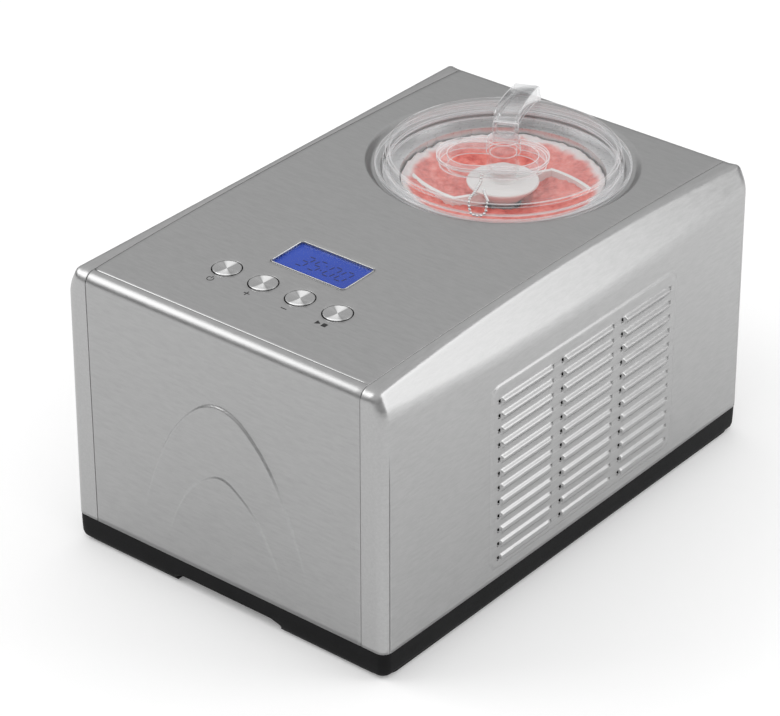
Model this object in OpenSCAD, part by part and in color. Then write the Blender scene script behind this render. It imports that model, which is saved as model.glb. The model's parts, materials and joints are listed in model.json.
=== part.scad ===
// Compressor ice cream maker: sheet steel case, removable bowl, clear lid,
// mixing paddle with its gear drive, and the refrigeration set under the covers.
// Front faces -Y, +X is the right hand side seen from the front, +Z is up.
// The origin is on the floor under the centre of the case.

/* [Case] */
// Width of the case over the two side panels
body_w = 285; // [284:0.5:287]
// Depth of the case, front face to rear face
body_d = 420; // [419:0.5:422]
// Height of the top panel's crown above the floor
body_h = 226; // [225:0.5:227]
// How far the top panel falls from its crown to its front and rear bends
crown = 4.6; // [4:0.1:5]
// Radius of the bend between front and top
front_r = 9; // [8:0.5:10]
// Radius of the bend between top and rear
rear_r = 10; // [9:0.5:11]
// Half width of the wrap-around panel, centre line to side seam
seam_x = 121; // [120:0.5:122]
// Thickness of the steel sheet
sheet = 1.0; // [0.8:0.1:1.2]
// Corner radius of the side panels in plan
corner_r = 14; // [12:0.5:16]
// Height of the black base skirt
base_h = 21.5; // [21:0.5:22]

/* [Bowl and lid] */
// Distance of the bowl's axis behind the centre of the case
bowl_y = 99; // [98.5:0.5:99.5]
// Inner radius of the removable bowl
bowl_r = 75; // [74:0.5:76]
// Depth of the bowl below its flange
bowl_depth = 124; // [122:1:126]
// Outer radius of the lid's flange
lid_flange_r = 93; // [92.5:0.25:93.5]
// Outer radius of the lid's raised wall
lid_r = 86; // [85.5:0.25:86.5]
// Overall height to the top of the lid's handle
overall_h = 260; // [259:0.5:261]
// Direction of the filler opening's long side, seen from above
filler_angle = 34; // [30:1:38]
// Direction of the lid's handle, from straight back towards the left
handle_angle = 25; // [23:1:27]

/* [Controls] */
// Distance between neighbouring buttons
button_pitch = 32.6; // [32:0.1:33]
// Radius of a button cap
button_r = 10.2; // [10:0.1:10.4]
// How far back from the front face the buttons sit
button_back = 64.4; // [63:0.2:66]
// Width of the display window
lcd_w = 64; // [62:1:66]
// Depth of the display window, front to rear
lcd_d = 33; // [31:1:34]

/* [Drive] */
// Radius of the drive shaft
shaft_r = 5; // [4.9:0.1:5.1]
// Teeth on the output gear
out_teeth = 60; // [60]
// Teeth on the small wheel of the intermediate gear
mid_small_teeth = 12; // [12]
// Teeth on the large wheel of the intermediate gear
mid_large_teeth = 56; // [56]
// Teeth on the motor's pinion
pinion_teeth = 10; // [10]

/* [Vents] */
// Louvre rows on each side panel
vent_rows = 12; // [10:1:12]
// Louvre columns on each side panel
vent_cols = 3; // [2:1:3]
// Height between neighbouring louvres
vent_pitch = 11.4; // [11.2:0.1:11.6]

/* [Hidden] */
$fn = 72;
fy = -body_d/2;                    // front face
ry = body_d/2;                     // rear face
y0 = fy + front_r;                 // front bend's upper tangent line
y1 = ry - rear_r;                  // rear bend's upper tangent line
z_end = body_h - crown;            // top panel's height at both bends
function zt(y) = body_h - crown*pow(y/y1, 2);
fit = 0.05;                        // radial running clearance
ledge_z = 220.5;                   // top of the ledge in the dished recess
recess_r = 101;
ledge_r = 94.5;
hole_r = 88.5;
btn_y = fy + button_back;
lcd_y = fy + 107;
panel_fit_z = base_h;
mod_a = 1.0;
mod_b = 0.8;
mid_d = mod_a*(out_teeth + mid_small_teeth)/2;
pin_d = mod_b*(mid_large_teeth + pinion_teeth)/2;
mid_x = -mid_d;
pin_x = -mid_d - pin_d;

// ---------- shared shapes ----------

// outline of the wrapped sheet seen from the side, drawn in (y, z), inset by t
function wrap_pts(t) = concat(
  [[fy + t, panel_fit_z]],
  [for (i = [0:8]) let(a = 180 - i*90/8) [y0 + (front_r - t)*cos(a), z_end - front_r + (front_r - t)*sin(a)]],
  [for (i = [1:27]) let(y = y0 + (y1 - y0)*i/28) [y, zt(y) - t]],
  [for (i = [0:8]) let(a = 90 - i*90/8) [y1 + (rear_r - t)*cos(a), z_end - rear_r + (rear_r - t)*sin(a)]],
  [[ry - t, panel_fit_z]]);

// a profile drawn in (y, z), swept from x = a to x = b
module along_x(a, b) translate([a, 0, 0]) rotate([90, 0, 90]) linear_extrude(height = b - a) children();

// a profile drawn in (x, z), swept from y = a to y = b
module along_y(a, b) translate([0, b, 0]) rotate([90, 0, 0]) linear_extrude(height = b - a) children();

// a rounded rectangle between two corners
module rrect(x0, ya, x1, yb, r) {
  union() {
    translate([x0 + r, ya]) square([x1 - x0 - 2*r, yb - ya]);
    translate([x0, ya + r]) square([x1 - x0, yb - ya - 2*r]);
    for (x = [x0 + r, x1 - r], y = [ya + r, yb - r]) translate([x, y]) circle(r = r);
  }
}

// a stadium about the origin: total length l, total width w
module stadium(l, w) {
  union() {
    square([l - w, w], center = true);
    for (s = [-1, 1]) translate([s*(l - w)/2, 0]) circle(d = w);
  }
}

// ring between two radii
module ring(ro, ri, h) difference() {
  cylinder(r = ro, h = h);
  translate([0, 0, -1]) cylinder(r = ri, h = h + 2);
}

// tube with n sides through points p, with radius r[i] at point i
function unit(v) = v/norm(v);
function tang(p, i) = unit(i == 0 ? p[1] - p[0] : i == len(p) - 1 ? p[i] - p[i-1] : unit(p[i+1] - p[i]) + unit(p[i] - p[i-1]));
// normal carried along the path, so the tube does not twist
function carry(n, t) = unit(n - t*(n*t));
function normals(p, i = 0, n = undef) = i >= len(p) ? [] :
  let(t = tang(p, i), m = carry(n == undef ? (abs(t[2]) < 0.8 ? [0, 0, 1] : [1, 0, 0]) : n, t))
  concat([m], normals(p, i + 1, m));
module swell(p, r, n = 8) {
  ns = normals(p);
  pts = [for (i = [0:len(p)-1]) let(t = tang(p, i), a = ns[i], b = cross(t, a))
         for (k = [0:n-1]) p[i] + r[i]*(a*cos(k*360/n) + b*sin(k*360/n))];
  faces = concat(
    [[for (k = [0:n-1]) k]],
    [for (i = [0:len(p)-2], k = [0:n-1]) let(a = i*n + k, b = i*n + (k+1)%n) [a, a + n, b + n, b]],
    [[for (k = [0:n-1]) (len(p)-1)*n + n - 1 - k]]);
  polyhedron(points = pts, faces = faces, convexity = 8);
}
module tube(p, r, n = 8) swell(p, [for (q = p) r], n);
// smooth path through way points (Catmull-Rom), m steps a span
function cr(a, b, c, d, t) = 0.5*((2*b) + (c - a)*t + (2*a - 5*b + 4*c - d)*t*t + (3*b - a - 3*c + d)*t*t*t);
function smooth(w, m = 5) = concat(
  [for (i = [0:len(w)-2], k = [0:m-1]) cr(w[max(i-1, 0)], w[i], w[i+1], w[min(i+2, len(w)-1)], k/m)],
  [w[len(w)-1]]);

// spur gear outline: n teeth of module m, flanks drawn straight with backlash
function gear_pts(n, m, add = 0.85, th = 0.235) = [for (i = [0:n-1]) let(p = n*m/2, s = 360/n, a = i*s)
  for (q = [[p - 1.15*m, -th*s*1.28*2/2*1.0 - 0.06*s], [p, -th*s], [p + add*m, -th*s*0.52],
            [p + add*m, th*s*0.52], [p, th*s], [p - 1.15*m, th*s*1.28*2/2*1.0 + 0.06*s]])
    [q[0]*cos(a + q[1]), q[0]*sin(a + q[1])]];
module gear(n, m, h) linear_extrude(height = h) polygon(gear_pts(n, m));

// ---------- case ----------

module base_outline(t = 0) rrect(-body_w/2 + 3 + t, fy + 3 + t, body_w/2 - 3 - t, ry - 3 - t, 13 - t);

module base_tray() color([0.06, 0.06, 0.065]) difference() {
  union() {
    difference() {
      translate([0, 0, 1.5]) linear_extrude(height = base_h - 1.8) base_outline();
      translate([0, 0, 4.5]) linear_extrude(height = 40) base_outline(2.6);
    }
    // inner rim that the panels are screwed to
    difference() {
      translate([0, 0, 4]) linear_extrude(height = 27) base_outline(2.2);
      translate([0, 0, 3]) linear_extrude(height = 40) base_outline(4.6);
    }
    // raised floor over the front toe recess
    translate([-51, fy + 3, 4]) cube([102, 25, 7]);
    // screw bosses
    for (x = [-122, 122], y = [fy + 24, -60, 60, ry - 24]) translate([x, y, 4]) cylinder(r = 5, h = 20);
    // posts under the compressor
    for (x = [-104, -16], y = [-159, -71]) translate([x, y, 4]) cylinder(r = 7, h = 5);
    for (x = [14, 70], y = [-196, -146]) translate([x, y, 4]) cylinder(r = 3, h = 7.2);
  }
  // toe recess at the middle of the front
  translate([-47.5, fy, 0]) cube([95, 25, 8]);
  // seats of the rubber feet
  for (x = [-108, 108], y = [-172, 172]) translate([x, y, 0]) cylinder(r = 5.1, h = 2.6);
  for (x = [-122, 122], y = [fy + 24, -60, 60, ry - 24]) translate([x, y, 0]) {
    cylinder(r = 1.6, h = 22);
    cylinder(r = 3.4, h = 5);
  }
}

module rubber_feet() color([0.09, 0.09, 0.09]) for (x = [-108, 108], y = [-172, 172]) translate([x, y, 0]) {
  cylinder(r = 9, h = 1.5);
  cylinder(r = 5, h = 2.4);
}

control_y0 = -196;   // where the bent front edge passes into the control panel
ring_y0 = -30;       // where the control panel passes into the plate round the bowl
ring_y1 = 189;       // where that plate passes into the bent rear edge
module wrap_shell(t) along_x(-seam_x + 0.2, seam_x - 0.2) polygon(wrap_pts(t));

// the wrapped sheet with its openings; the nodes below share it out
module wrap_sheet() difference() {
  wrap_shell(0);
  translate([0, 0, -0.01]) wrap_shell(sheet);
  translate([-150, fy - 1, 0]) cube([300, 4, 0.1]);
}
module front_panel() color([0.62, 0.62, 0.63]) intersection() {
  wrap_sheet();
  translate([-150, fy - 1, 0]) cube([300, 6, z_end - front_r]);
}
module rear_panel() color([0.62, 0.62, 0.63]) difference() {
  intersection() {
    wrap_sheet();
    translate([-150, ry - 5, 0]) cube([300, 6, z_end - rear_r]);
  }
  // cord gland hole
  translate([-95, ry - 20, 44]) rotate([-90, 0, 0]) cylinder(r = 8, h = 40);
  // screw holes
  for (x = [-105, 0, 105], z = [38, 200]) translate([x, ry - 20, z]) rotate([-90, 0, 0]) cylinder(r = 2, h = 40);
}
// a stretch of the top between y = a and y = b, above the front and rear faces
module top_stretch(a, b) difference() {
  intersection() {
    wrap_sheet();
    translate([-150, a, z_end - front_r - 1]) cube([300, b - a, 60]);
  }
  translate([-150, fy - 1, 0]) cube([300, 6, z_end - front_r]);
  translate([-150, ry - 5, 0]) cube([300, 6, z_end - rear_r]);
}
module front_bend() color([0.62, 0.62, 0.63]) top_stretch(fy - 1, control_y0);
module rear_bend() color([0.62, 0.62, 0.63]) difference() {
  top_stretch(ring_y1, ry + 1);
  translate([0, bowl_y, 190]) cylinder(r = recess_r + 0.4, h = 60);
}
module top_panel() color([0.62, 0.62, 0.63]) difference() {
  top_stretch(ring_y0, ring_y1);
  translate([0, bowl_y, 190]) cylinder(r = recess_r + 0.4, h = 60);
}
module control_panel() color([0.62, 0.62, 0.63]) difference() {
  top_stretch(control_y0, ring_y0);
  // display opening
  translate([-lcd_w/2 - 1.2, lcd_y - lcd_d/2 - 1.2, 200]) cube([lcd_w + 2.4, lcd_d + 2.4, 40]);
  // button openings
  for (i = [-1.5:1:1.5]) translate([i*button_pitch, btn_y, 200]) cylinder(r = button_r + 0.9, h = 40);
}
// dished recess round the bowl, with its flat ledge
module lid_recess() color([0.62, 0.62, 0.63]) intersection() {
  translate([0, bowl_y, 0]) rotate_extrude($fn = 144) polygon([
    [hole_r, ledge_z], [ledge_r, ledge_z], [ledge_r + 1.2, ledge_z + 0.6], [recess_r, body_h + 0.2],
    [recess_r + 0.38, body_h + 0.2], [recess_r + 0.38, z_end - 1.6], [ledge_r + 1.6, ledge_z - 1.2], [hole_r, ledge_z - sheet]]);
  wrap_shell(0);
}

// outline of a side panel from the front, in (x, z), for the right hand side, inset by t
function side_pts(t) = [[seam_x + 0.2, panel_fit_z - 0], [seam_x + 0.2, body_h + 2],
  [128.5 - t*0.2, body_h + 2 - t], [129.5 - t*0.3, body_h - 2.2 - t], [134 - t*0.8, 218 - t*0.5],
  [137.6 - t, 209 - t*0.3], [139.8 - t, 200], [141.2 - t, 190], [body_w/2 - 0.7 - t, 172],
  [body_w/2 - 0.6 - t, panel_fit_z]];

module side_solid(t, zc = 0) intersection() {
  along_y(fy - 1, ry + 1) polygon(side_pts(t));
  translate([0, 0, panel_fit_z - zc]) linear_extrude(height = 260) rrect(0, fy + t, body_w/2 - 0.3 - t, ry - t, corner_r - t);
  along_x(seam_x + 0.2, body_w) polygon(wrap_pts(t));
}

module side_panel() {
  vx = body_w/2 - 0.6;
  difference() {
    union() {
      difference() {
        side_solid(0);
        translate([-1, 0, -0.01]) side_solid(sheet + 0.1, 5);
      }
    }
    // louvre slots
    for (c = [0:vent_cols-1], r = [0:vent_rows-1])
      translate([vx - 6, 11 + (c - (vent_cols - 1)/2)*70.3 - 28, 38 + r*vent_pitch]) cube([20, 56, 2.6]);
  }
  // raised lip of each louvre
  for (c = [0:vent_cols-1], r = [0:vent_rows-1])
    translate([vx - 1.2, 11 + (c - (vent_cols - 1)/2)*70.3 - 29, 38 + r*vent_pitch + 2.3]) cube([1.8, 58, 1.4]);
}

module right_side_panel() color([0.66, 0.66, 0.67]) side_panel();
module left_side_panel() color([0.66, 0.66, 0.67]) mirror([1, 0, 0]) side_panel();

module base_screws() color([0.35, 0.35, 0.36]) for (x = [-122, 122], y = [fy + 24, -60, 60, ry - 24]) translate([x, y, 0]) {
  difference() {
    translate([0, 0, 2.4]) cylinder(r = 3, h = 2.4);
    translate([-2, -0.4, 2]) cube([4, 0.8, 1.2]);
    translate([-0.4, -2, 2]) cube([0.8, 4, 1.2]);
  }
  translate([0, 0, 4.8]) cylinder(r = 1.5, h = 12);
}

module rear_screws() color([0.55, 0.55, 0.56]) for (x = [-105, 0, 105], z = [38, 200]) translate([x, ry, z]) rotate([90, 0, 0]) {
  difference() {
    translate([0, 0, 0.1]) cylinder(r = 1.95, h = 1.6);
    translate([-1.3, -0.3, -1]) cube([2.6, 0.6, 1.8]);
    translate([-0.3, -1.3, -1]) cube([0.6, 2.6, 1.8]);
  }
  translate([0, 0, 1.6]) cylinder(r = 1.5, h = 7);
}

module cord_gland() color([0.05, 0.05, 0.05]) translate([-95, ry, 44]) rotate([90, 0, 0]) difference() {
  union() {
    cylinder(r = 7.8, h = 14);
    translate([0, 0, 1.2]) cylinder(r = 9.4, h = 2.6);
    translate([0, 0, 10]) cylinder(r = 9.4, h = 4);
  }
  translate([0, 0, -1]) cylinder(r = 3.5, h = 20);
}

// ---------- controls ----------

lz = zt(lcd_y);
module display_bezel() color([0.75, 0.75, 0.76]) difference() {
  translate([0, lcd_y, 0]) linear_extrude(height = lz + 0.6) rrect(-lcd_w/2 - 1, -lcd_d/2 - 1, lcd_w/2 + 1, lcd_d/2 + 1, 3);
  translate([0, lcd_y, -1]) linear_extrude(height = 300) rrect(-lcd_w/2 + 0.6, -lcd_d/2 + 0.6, lcd_w/2 - 0.6, lcd_d/2 - 0.6, 2.2);
  translate([-60, lcd_y - 40, -1]) cube([120, 80, lz - 4.6]);
}
module display_window() color([0.1, 0.2, 0.7, 0.4]) translate([0, lcd_y, lz - 2.3]) linear_extrude(height = 1.4)
  rrect(-lcd_w/2 + 0.9, -lcd_d/2 + 0.9, lcd_w/2 - 0.9, lcd_d/2 - 0.9, 2);
module lcd_module() color([0.12, 0.2, 0.6]) translate([-lcd_w/2 + 1, lcd_y - lcd_d/2 + 1, lz - 9]) cube([lcd_w - 2, lcd_d - 2, 6.2]);
pcb_z = 206;
module control_board() color([0.1, 0.35, 0.16]) difference() {
  union() {
    translate([-66, btn_y - 16, pcb_z]) cube([132, 78, 1.6]);
    translate([-58, btn_y + 46, pcb_z - 9]) cube([24, 9, 9.1]);
    translate([20, btn_y + 44, pcb_z - 4]) cube([14, 14, 4.1]);
  }
  for (x = [-60, 60], y = [btn_y - 11, btn_y + 56]) translate([x, y, pcb_z - 10]) cylinder(r = 1.7, h = 20);
}
module tact_switches() color([0.2, 0.2, 0.22]) for (i = [-1.5:1:1.5]) translate([i*button_pitch, btn_y, pcb_z + 1.6]) {
  translate([-3, -3, 0]) cube([6, 6, 3]);
  translate([0, 0, 3]) cylinder(r = 1.7, h = 0.9);
}
module button_guide() color([0.12, 0.12, 0.13]) difference() {
  union() {
    translate([-66, btn_y - 14, 215.4]) cube([132, 28, 2]);
    for (i = [-1.5:1:1.5]) translate([i*button_pitch, btn_y, 212.5]) cylinder(r = button_r + 2.2, h = 4);
    for (x = [-60, 60], y = [btn_y - 11]) translate([x, y, pcb_z + 1.6]) cylinder(r = 3, h = 8);
  }
  for (i = [-1.5:1:1.5]) translate([i*button_pitch, btn_y, 200]) cylinder(r = button_r + 0.35, h = 40);
}
bz = zt(btn_y);
module button_cap(i) translate([i*button_pitch, btn_y, 0]) {
  // cap with a finger dish turned into its face
  difference() {
    translate([0, 0, bz - 8.5]) cylinder(r = button_r, h = 9.1);
    translate([0, 0, bz - 9.5]) cylinder(r = button_r - 1.4, h = 7.6);
    translate([0, 0, bz + 60 - 0.1]) sphere(r = 60, $fn = 96);
  }
  // stem onto the switch
  translate([0, 0, pcb_z + 1.6 + 3.9 + 1.15]) cylinder(r = 2, h = bz - 1.5 - (pcb_z + 1.6 + 3.9 + 1.15));
}
module button_power() color([0.75, 0.75, 0.76]) button_cap(-1.5);
module button_plus() color([0.75, 0.75, 0.76]) button_cap(-0.5);
module button_minus() color([0.75, 0.75, 0.76]) button_cap(0.5);
module button_start() color([0.75, 0.75, 0.76]) button_cap(1.5);

// ---------- cold well ----------

well_r = bowl_r + 4.5;   // inner radius of the well
step_z = 211.5;          // seat of the bowl's flange
floor_z = 82;            // top of the well's floor
module evaporator_well() color([0.7, 0.71, 0.72]) translate([0, bowl_y, 0]) rotate_extrude($fn = 120) polygon([
  [11, floor_z - 1.5], [well_r + 1.5, floor_z - 1.5], [well_r + 1.5, step_z - 1.5], [91.2, step_z - 1.5], [91.2, 218.2],
  [89.7, 218.2], [89.7, step_z], [well_r, step_z], [well_r, floor_z], [11, floor_z]]);
module well_gasket() color([0.1, 0.1, 0.1]) translate([0, bowl_y, 218.3]) ring(91.8, 89.2, 1.0, $fn = 96);

coil_r = well_r + 1.5 + 5.2;
function helix(turns, za, zb) = [for (i = [0:turns*26]) let(a = -70 + i*360/26)
  [coil_r*cos(a), bowl_y + coil_r*sin(a), za + (zb - za)*i/(turns*26)]];
coil_path = concat([[8, bowl_y - coil_r - 22, 88], [16, bowl_y - coil_r - 10, 88.5]], helix(8, 91, 199),
  [[16, bowl_y - coil_r - 9, 201], [8, bowl_y - coil_r - 20, 201]]);
module evaporator_coil() color([0.72, 0.43, 0.27]) tube(coil_path, 4, 8);
module foam_jacket() color([0.85, 0.82, 0.68]) difference() {
  translate([0, bowl_y, 70]) cylinder(r = 101, h = 138, $fn = 96);
  translate([0, bowl_y, 80]) cylinder(r = 91.5, h = 150, $fn = 96);
  translate([0, bowl_y, 60]) cylinder(r = 16, h = 30);
  // slot for the two refrigerant pipes
  translate([-8, bowl_y - 110, 82]) cube([42, 32, 140]);
}
module chassis_bridge() color([0.5, 0.51, 0.52]) {
  difference() {
    translate([-100, 6, 66.8]) cube([200, 186, 2]);
    translate([0, bowl_y, 60]) cylinder(r = 16, h = 20);
  }
  for (x = [-92, 92], y = [14, 184]) translate([x, y, 0]) {
    translate([0, 0, 4.6]) ring(6, 2.2, 62.3);
    translate([-10, -8, 4.6]) cube([20, 2, 6]);
  }
}

// ---------- bowl, paddle, lid ----------

bowl_floor = step_z + 0.3 - bowl_depth + 1.3;
// a turned solid about the bowl's axis
module turned(pts) translate([0, bowl_y, 0]) rotate_extrude($fn = 120) polygon(pts);
// the bowl: straight wall, flange, dished bottom and the tube over the drive shaft
module bowl() color([0.72, 0.72, 0.73]) turned([
  [bowl_r, bowl_floor + 6.6], [bowl_r + 1.4, bowl_floor + 6.6], [bowl_r + 1.4, step_z + 0.3], [bowl_r, step_z + 0.3]]);
module bowl_flange() color([0.72, 0.72, 0.73]) turned([
  [bowl_r, step_z + 0.3], [87.2, step_z + 0.3], [87.2, 216.2], [85.9, 216.2], [85.9, step_z + 1.7], [bowl_r, step_z + 1.7]]);
module bowl_dish() color([0.7, 0.7, 0.71]) turned([
  [9, bowl_floor - 1.4], [bowl_r - 6, bowl_floor - 1.4], [bowl_r + 1.4, bowl_floor + 6], [bowl_r + 1.4, bowl_floor + 6.6],
  [bowl_r, bowl_floor + 6.6], [bowl_r - 6.6, bowl_floor], [9, bowl_floor]]);
module bowl_hub() color([0.74, 0.74, 0.75]) turned([
  [6.3, bowl_floor - 1.4], [9, bowl_floor - 1.4], [9, bowl_floor], [8.4, bowl_floor + 42], [6.3, bowl_floor + 42]]);

hub_z0 = bowl_floor + 1;
hub_z1 = 218.5;
blade_z0 = bowl_floor + 1.2;
blade_z1 = 206;
// one curved scraper blade beside the bowl's wall, centred on angle a
module scraper(a) rotate([0, 0, a - 13]) rotate_extrude(angle = 26, $fn = 120) polygon([
  [bowl_r - 8.8, blade_z0], [bowl_r - 7.6, blade_z0], [bowl_r - 1.2, blade_z0 + 7], [bowl_r - 1.2, blade_z1],
  [bowl_r - 4.4, blade_z1], [bowl_r - 4.4, blade_z0 + 8]]);
module arm(a, z, h, w, l) rotate([0, 0, a]) translate([8, -w/2, z]) cube([l, w, h]);
// top arm: swings round from the blade and runs in to the hub
module curved_arm(z, h) {
  translate([-18.14, 49.21, z]) rotate([0, 0, -122.92]) rotate_extrude(angle = 36.22, $fn = 180) translate([87.76, 0]) square([3.2, h]);
  translate([-14.9, -41.2, z + 0.3]) rotate([0, 0, 58]) translate([0, -1.5, 0]) cube([26, 3, h - 0.6]);
}
module dasher() color([0.93, 0.93, 0.92]) translate([0, bowl_y, 0]) difference() {
  union() {
    rotate_extrude($fn = 60) polygon([[0, hub_z0], [13, hub_z0], [12, hub_z0 + 44], [10, hub_z0 + 52], [8, 189.5],
      [26, 206.6], [26.4, 208], [25.6, 208.8], [10.4, 209.6], [9.6, 211], [9.5, hub_z1 - 1.5], [8, hub_z1], [0, hub_z1]]);
    for (a = [0, 180]) {
      scraper(24 + a);
      arm(24 + a, blade_z0 + 7, 9, 5, bowl_r - 11.5);
      rotate([0, 0, a]) curved_arm(blade_z1 - 9.4, 9);
    }
    // inner paddle, set across the arms
    for (a = [112, 292]) {
      arm(a, blade_z0 + 1.5, 8, 4.4, 34);
      rotate([0, 0, a]) translate([38, -1.6, blade_z0 + 1.5]) cube([8, 3.2, 88]);
      arm(a, blade_z0 + 82, 7.5, 3.6, 34);
    }
  }
  translate([0, 0, hub_z0 - 5]) cylinder(r = 9.4, h = 50.5);
  translate([0, 0, hub_z0 + 40]) cylinder(r = 4.95, h = 24.4, $fn = 6);
  translate([0, 0, hub_z0 + 38]) cylinder(r = 5.6, h = 9);
}

lid_top = 234;
filler_c = [9, 74.5];
module at_filler() translate([filler_c[0], filler_c[1], 0]) rotate([0, 0, filler_angle]) children();
// handle seen from its side: s runs from the lid's axis to the rim
function handle_top(s) = s < 12 ? overall_h - 9*(1 - sin(90*(s - 5)/7)) : s < 78 ? overall_h - 12*pow((s - 12)/66, 1.5)
  : overall_h - 12 - 14*(1 - cos(90*(s - 78)/8));
function handle_low(s) = overall_h - 10 - 15*pow((s - 9)/73, 1.6);
top_s = [for (s = [5, 6, 7.5, 9.5, 12, 18, 26, 34, 42, 50, 58, 66, 73, 78, 80, 82, 84, 85.3, 86]) s];
low_s = [for (s = [81, 74, 66, 58, 50, 42, 34, 26, 18, 9]) s];
module handle_side(w, pts) rotate([90, 0, 0]) translate([0, 0, -w/2]) linear_extrude(height = w) polygon(pts);
module at_handle() translate([0, bowl_y, 0]) rotate([0, 0, 90 + handle_angle]) children();
module handle() at_handle() difference() {
  handle_side(19, concat([[4.5, lid_top - 1]], [for (s = top_s) [s, handle_top(s)]], [[86, lid_top - 2.6], [81, lid_top - 2.6]],
    [for (s = low_s) [s, handle_low(s)]], [[9, lid_top - 1]]));
  // channel along the underside
  handle_side(14, concat([for (s = low_s) [s, s == 9 ? handle_low(s) - 9 : handle_low(s) - 3]],
    [for (i = [0:14]) let(s = 9.01 + i*69/14) [s, handle_top(s) - 2.5]]));
  // opening in the front leg
  translate([2, -6.2, lid_top + 9.5]) cube([8, 12.4, 11]);
}
module lid() color([0.9, 0.93, 0.95, 0.35]) {
  difference() {
    union() {
      // flange, wall, top plate and locating skirt in one profile
      translate([0, bowl_y, 0]) rotate_extrude($fn = 120) polygon([
        [0, lid_top - 2], [lid_r - 3.6, lid_top - 2], [lid_r - 2, lid_top - 4], [lid_r - 2, 223.4],
        [82.2, 223], [82.2, 217.4], [84.2, 217.4], [84.2, 220.8], [lid_flange_r - 0.6, 220.8],
        [lid_flange_r, 222], [lid_flange_r, 224], [lid_flange_r - 0.8, 224.6], [lid_r + 0.8, 224.6], [lid_r, 225.6],
        [lid_r, lid_top - 3], [lid_r - 0.8, lid_top - 0.8], [lid_r - 3, lid_top], [0, lid_top]]);
      // filler collar
      at_filler() translate([0, 0, lid_top - 2]) linear_extrude(height = 8.5) stadium(76, 46);
      at_filler() translate([0, 0, lid_top + 5.5]) linear_extrude(height = 2.5) stadium(81, 51);
      // guide boss round the paddle's hub
      translate([0, bowl_y, 213.6]) cylinder(r = 12, h = lid_top - 213.6 + 8);
    }
    at_filler() translate([0, 0, 200]) linear_extrude(height = 60) difference() {
      stadium(65, 37);
    }
    translate([0, bowl_y, 212]) cylinder(r = 10, h = 19);
  }
  // the part of the guide boss that stands inside the filler opening
  translate([0, bowl_y, 0]) difference() {
    translate([0, 0, 213.6]) cylinder(r = 12, h = lid_top - 213.6 + 8);
    translate([0, 0, 212]) cylinder(r = 10, h = 19);
  }
}
module lid_handle() color([0.9, 0.93, 0.95, 0.35]) difference() {
  handle();
  translate([0, bowl_y, 200]) cylinder(r = 12, h = lid_top - 200 + 8);
  translate([0, bowl_y, 200]) cylinder(r = lid_r + 3, h = lid_top - 200);
}

// ball chain: hangs from the collar, lies over the lid and drapes down to the flange
function at_lid(r, a, z) = [r*sin(a), bowl_y - r*cos(a), z];
chain_way = [[18.2, 50.2, 239.2], [19.6, 47.6, 237.4], [21.2, 44.6, 235.5], [24.3, 37, 235.25], [27.6, 28.6, 235.25],
  at_lid(83, 21, 235.2), at_lid(86.2, 21.2, 234.4), at_lid(87.35, 21.4, 231.6), at_lid(87.5, 21.8, 228.2), at_lid(88.9, 23, 225.95),
  at_lid(90.3, 25.5, 225.9), at_lid(88.9, 28, 225.95), at_lid(87.5, 29.2, 228.2), at_lid(87.35, 29.5, 231.6), at_lid(86.2, 29.7, 234.4),
  at_lid(83, 29.6, 235.2), [35.6, 31.2, 235.25], [30, 36.6, 235.25], [26.2, 40.6, 235.3]];
chain_line = smooth(chain_way, 8);
chain_runs = [for (i = 0, d = 0; i < len(chain_line); i = i + 1, d = i < len(chain_line) ? d + norm(chain_line[i] - chain_line[i-1]) : d) d];
function at_run(d) = let(k = max([for (i = [0:len(chain_line)-2]) if (chain_runs[i] <= d) i]), f = (d - chain_runs[k])/(chain_runs[k+1] - chain_runs[k]))
  chain_line[k] + (chain_line[k+1] - chain_line[k])*f;
bead_pitch = 2.7;
beads = floor((chain_runs[len(chain_runs)-1] - 2.4)/bead_pitch);
bead_ring = [[-1.12, 0.4], [-0.8, 0.86], [0, 1.15], [0.8, 0.86], [1.12, 0.4]];
module bead_chain() color([0.8, 0.8, 0.8]) {
  at = [for (i = [0:beads-1], q = bead_ring) [1.2 + i*bead_pitch + q[0], q[1]]];
  swell([for (q = at) at_run(q[0])], [for (q = at) q[1]], 8);
}

// ---------- drive ----------

module drive_shaft() color([0.7, 0.7, 0.7]) translate([0, bowl_y, 0]) {
  translate([0, 0, 33.5]) cylinder(r = shaft_r, h = hub_z0 + 39 - 33.5);
  translate([0, 0, hub_z0 + 39 - 0.01]) cylinder(r = 4.5, h = 22, $fn = 6);
  translate([0, 0, 61]) cylinder(r = 6.2, h = 1.6);
}
module output_gear() color([0.9, 0.9, 0.86]) translate([0, bowl_y, 52]) difference() {
  union() {
    rotate([0, 0, 3]) gear(out_teeth, mod_a, 8);
    translate([0, 0, -3]) cylinder(r = 9, h = 12);
  }
  translate([0, 0, -5]) cylinder(r = shaft_r, h = 20);
  for (a = [0:60:300]) rotate([0, 0, a]) translate([18.5, 0, -1]) cylinder(r = 5, h = 12);
}
module bush(zb, h, ro, fl) translate([0, bowl_y, zb]) difference() {
  union() {
    cylinder(r = ro, h = h);
    translate([0, 0, fl]) cylinder(r = ro + 3, h = 1.8);
  }
  translate([0, 0, -1]) cylinder(r = shaft_r + fit, h = h + 2);
}
module shaft_bushes() color([0.72, 0.55, 0.3]) {
  bush(70.4, 14.5, 10.8, floor_z - 70.4 + 0.1);
  bush(35, 8, 8.5, 4.2);
}
module intermediate_gear() color([0.88, 0.88, 0.84]) translate([mid_x, bowl_y, 0]) difference() {
  union() {
    translate([0, 0, 42]) gear(mid_large_teeth, mod_b, 6);
    translate([0, 0, 47.9]) rotate([0, 0, 0]) gear(mid_small_teeth, mod_a, 14);
    translate([0, 0, 40.6]) cylinder(r = 4.5, h = 2);
  }
  translate([0, 0, 30]) cylinder(r = 2.5 + fit, h = 40);
}
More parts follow.
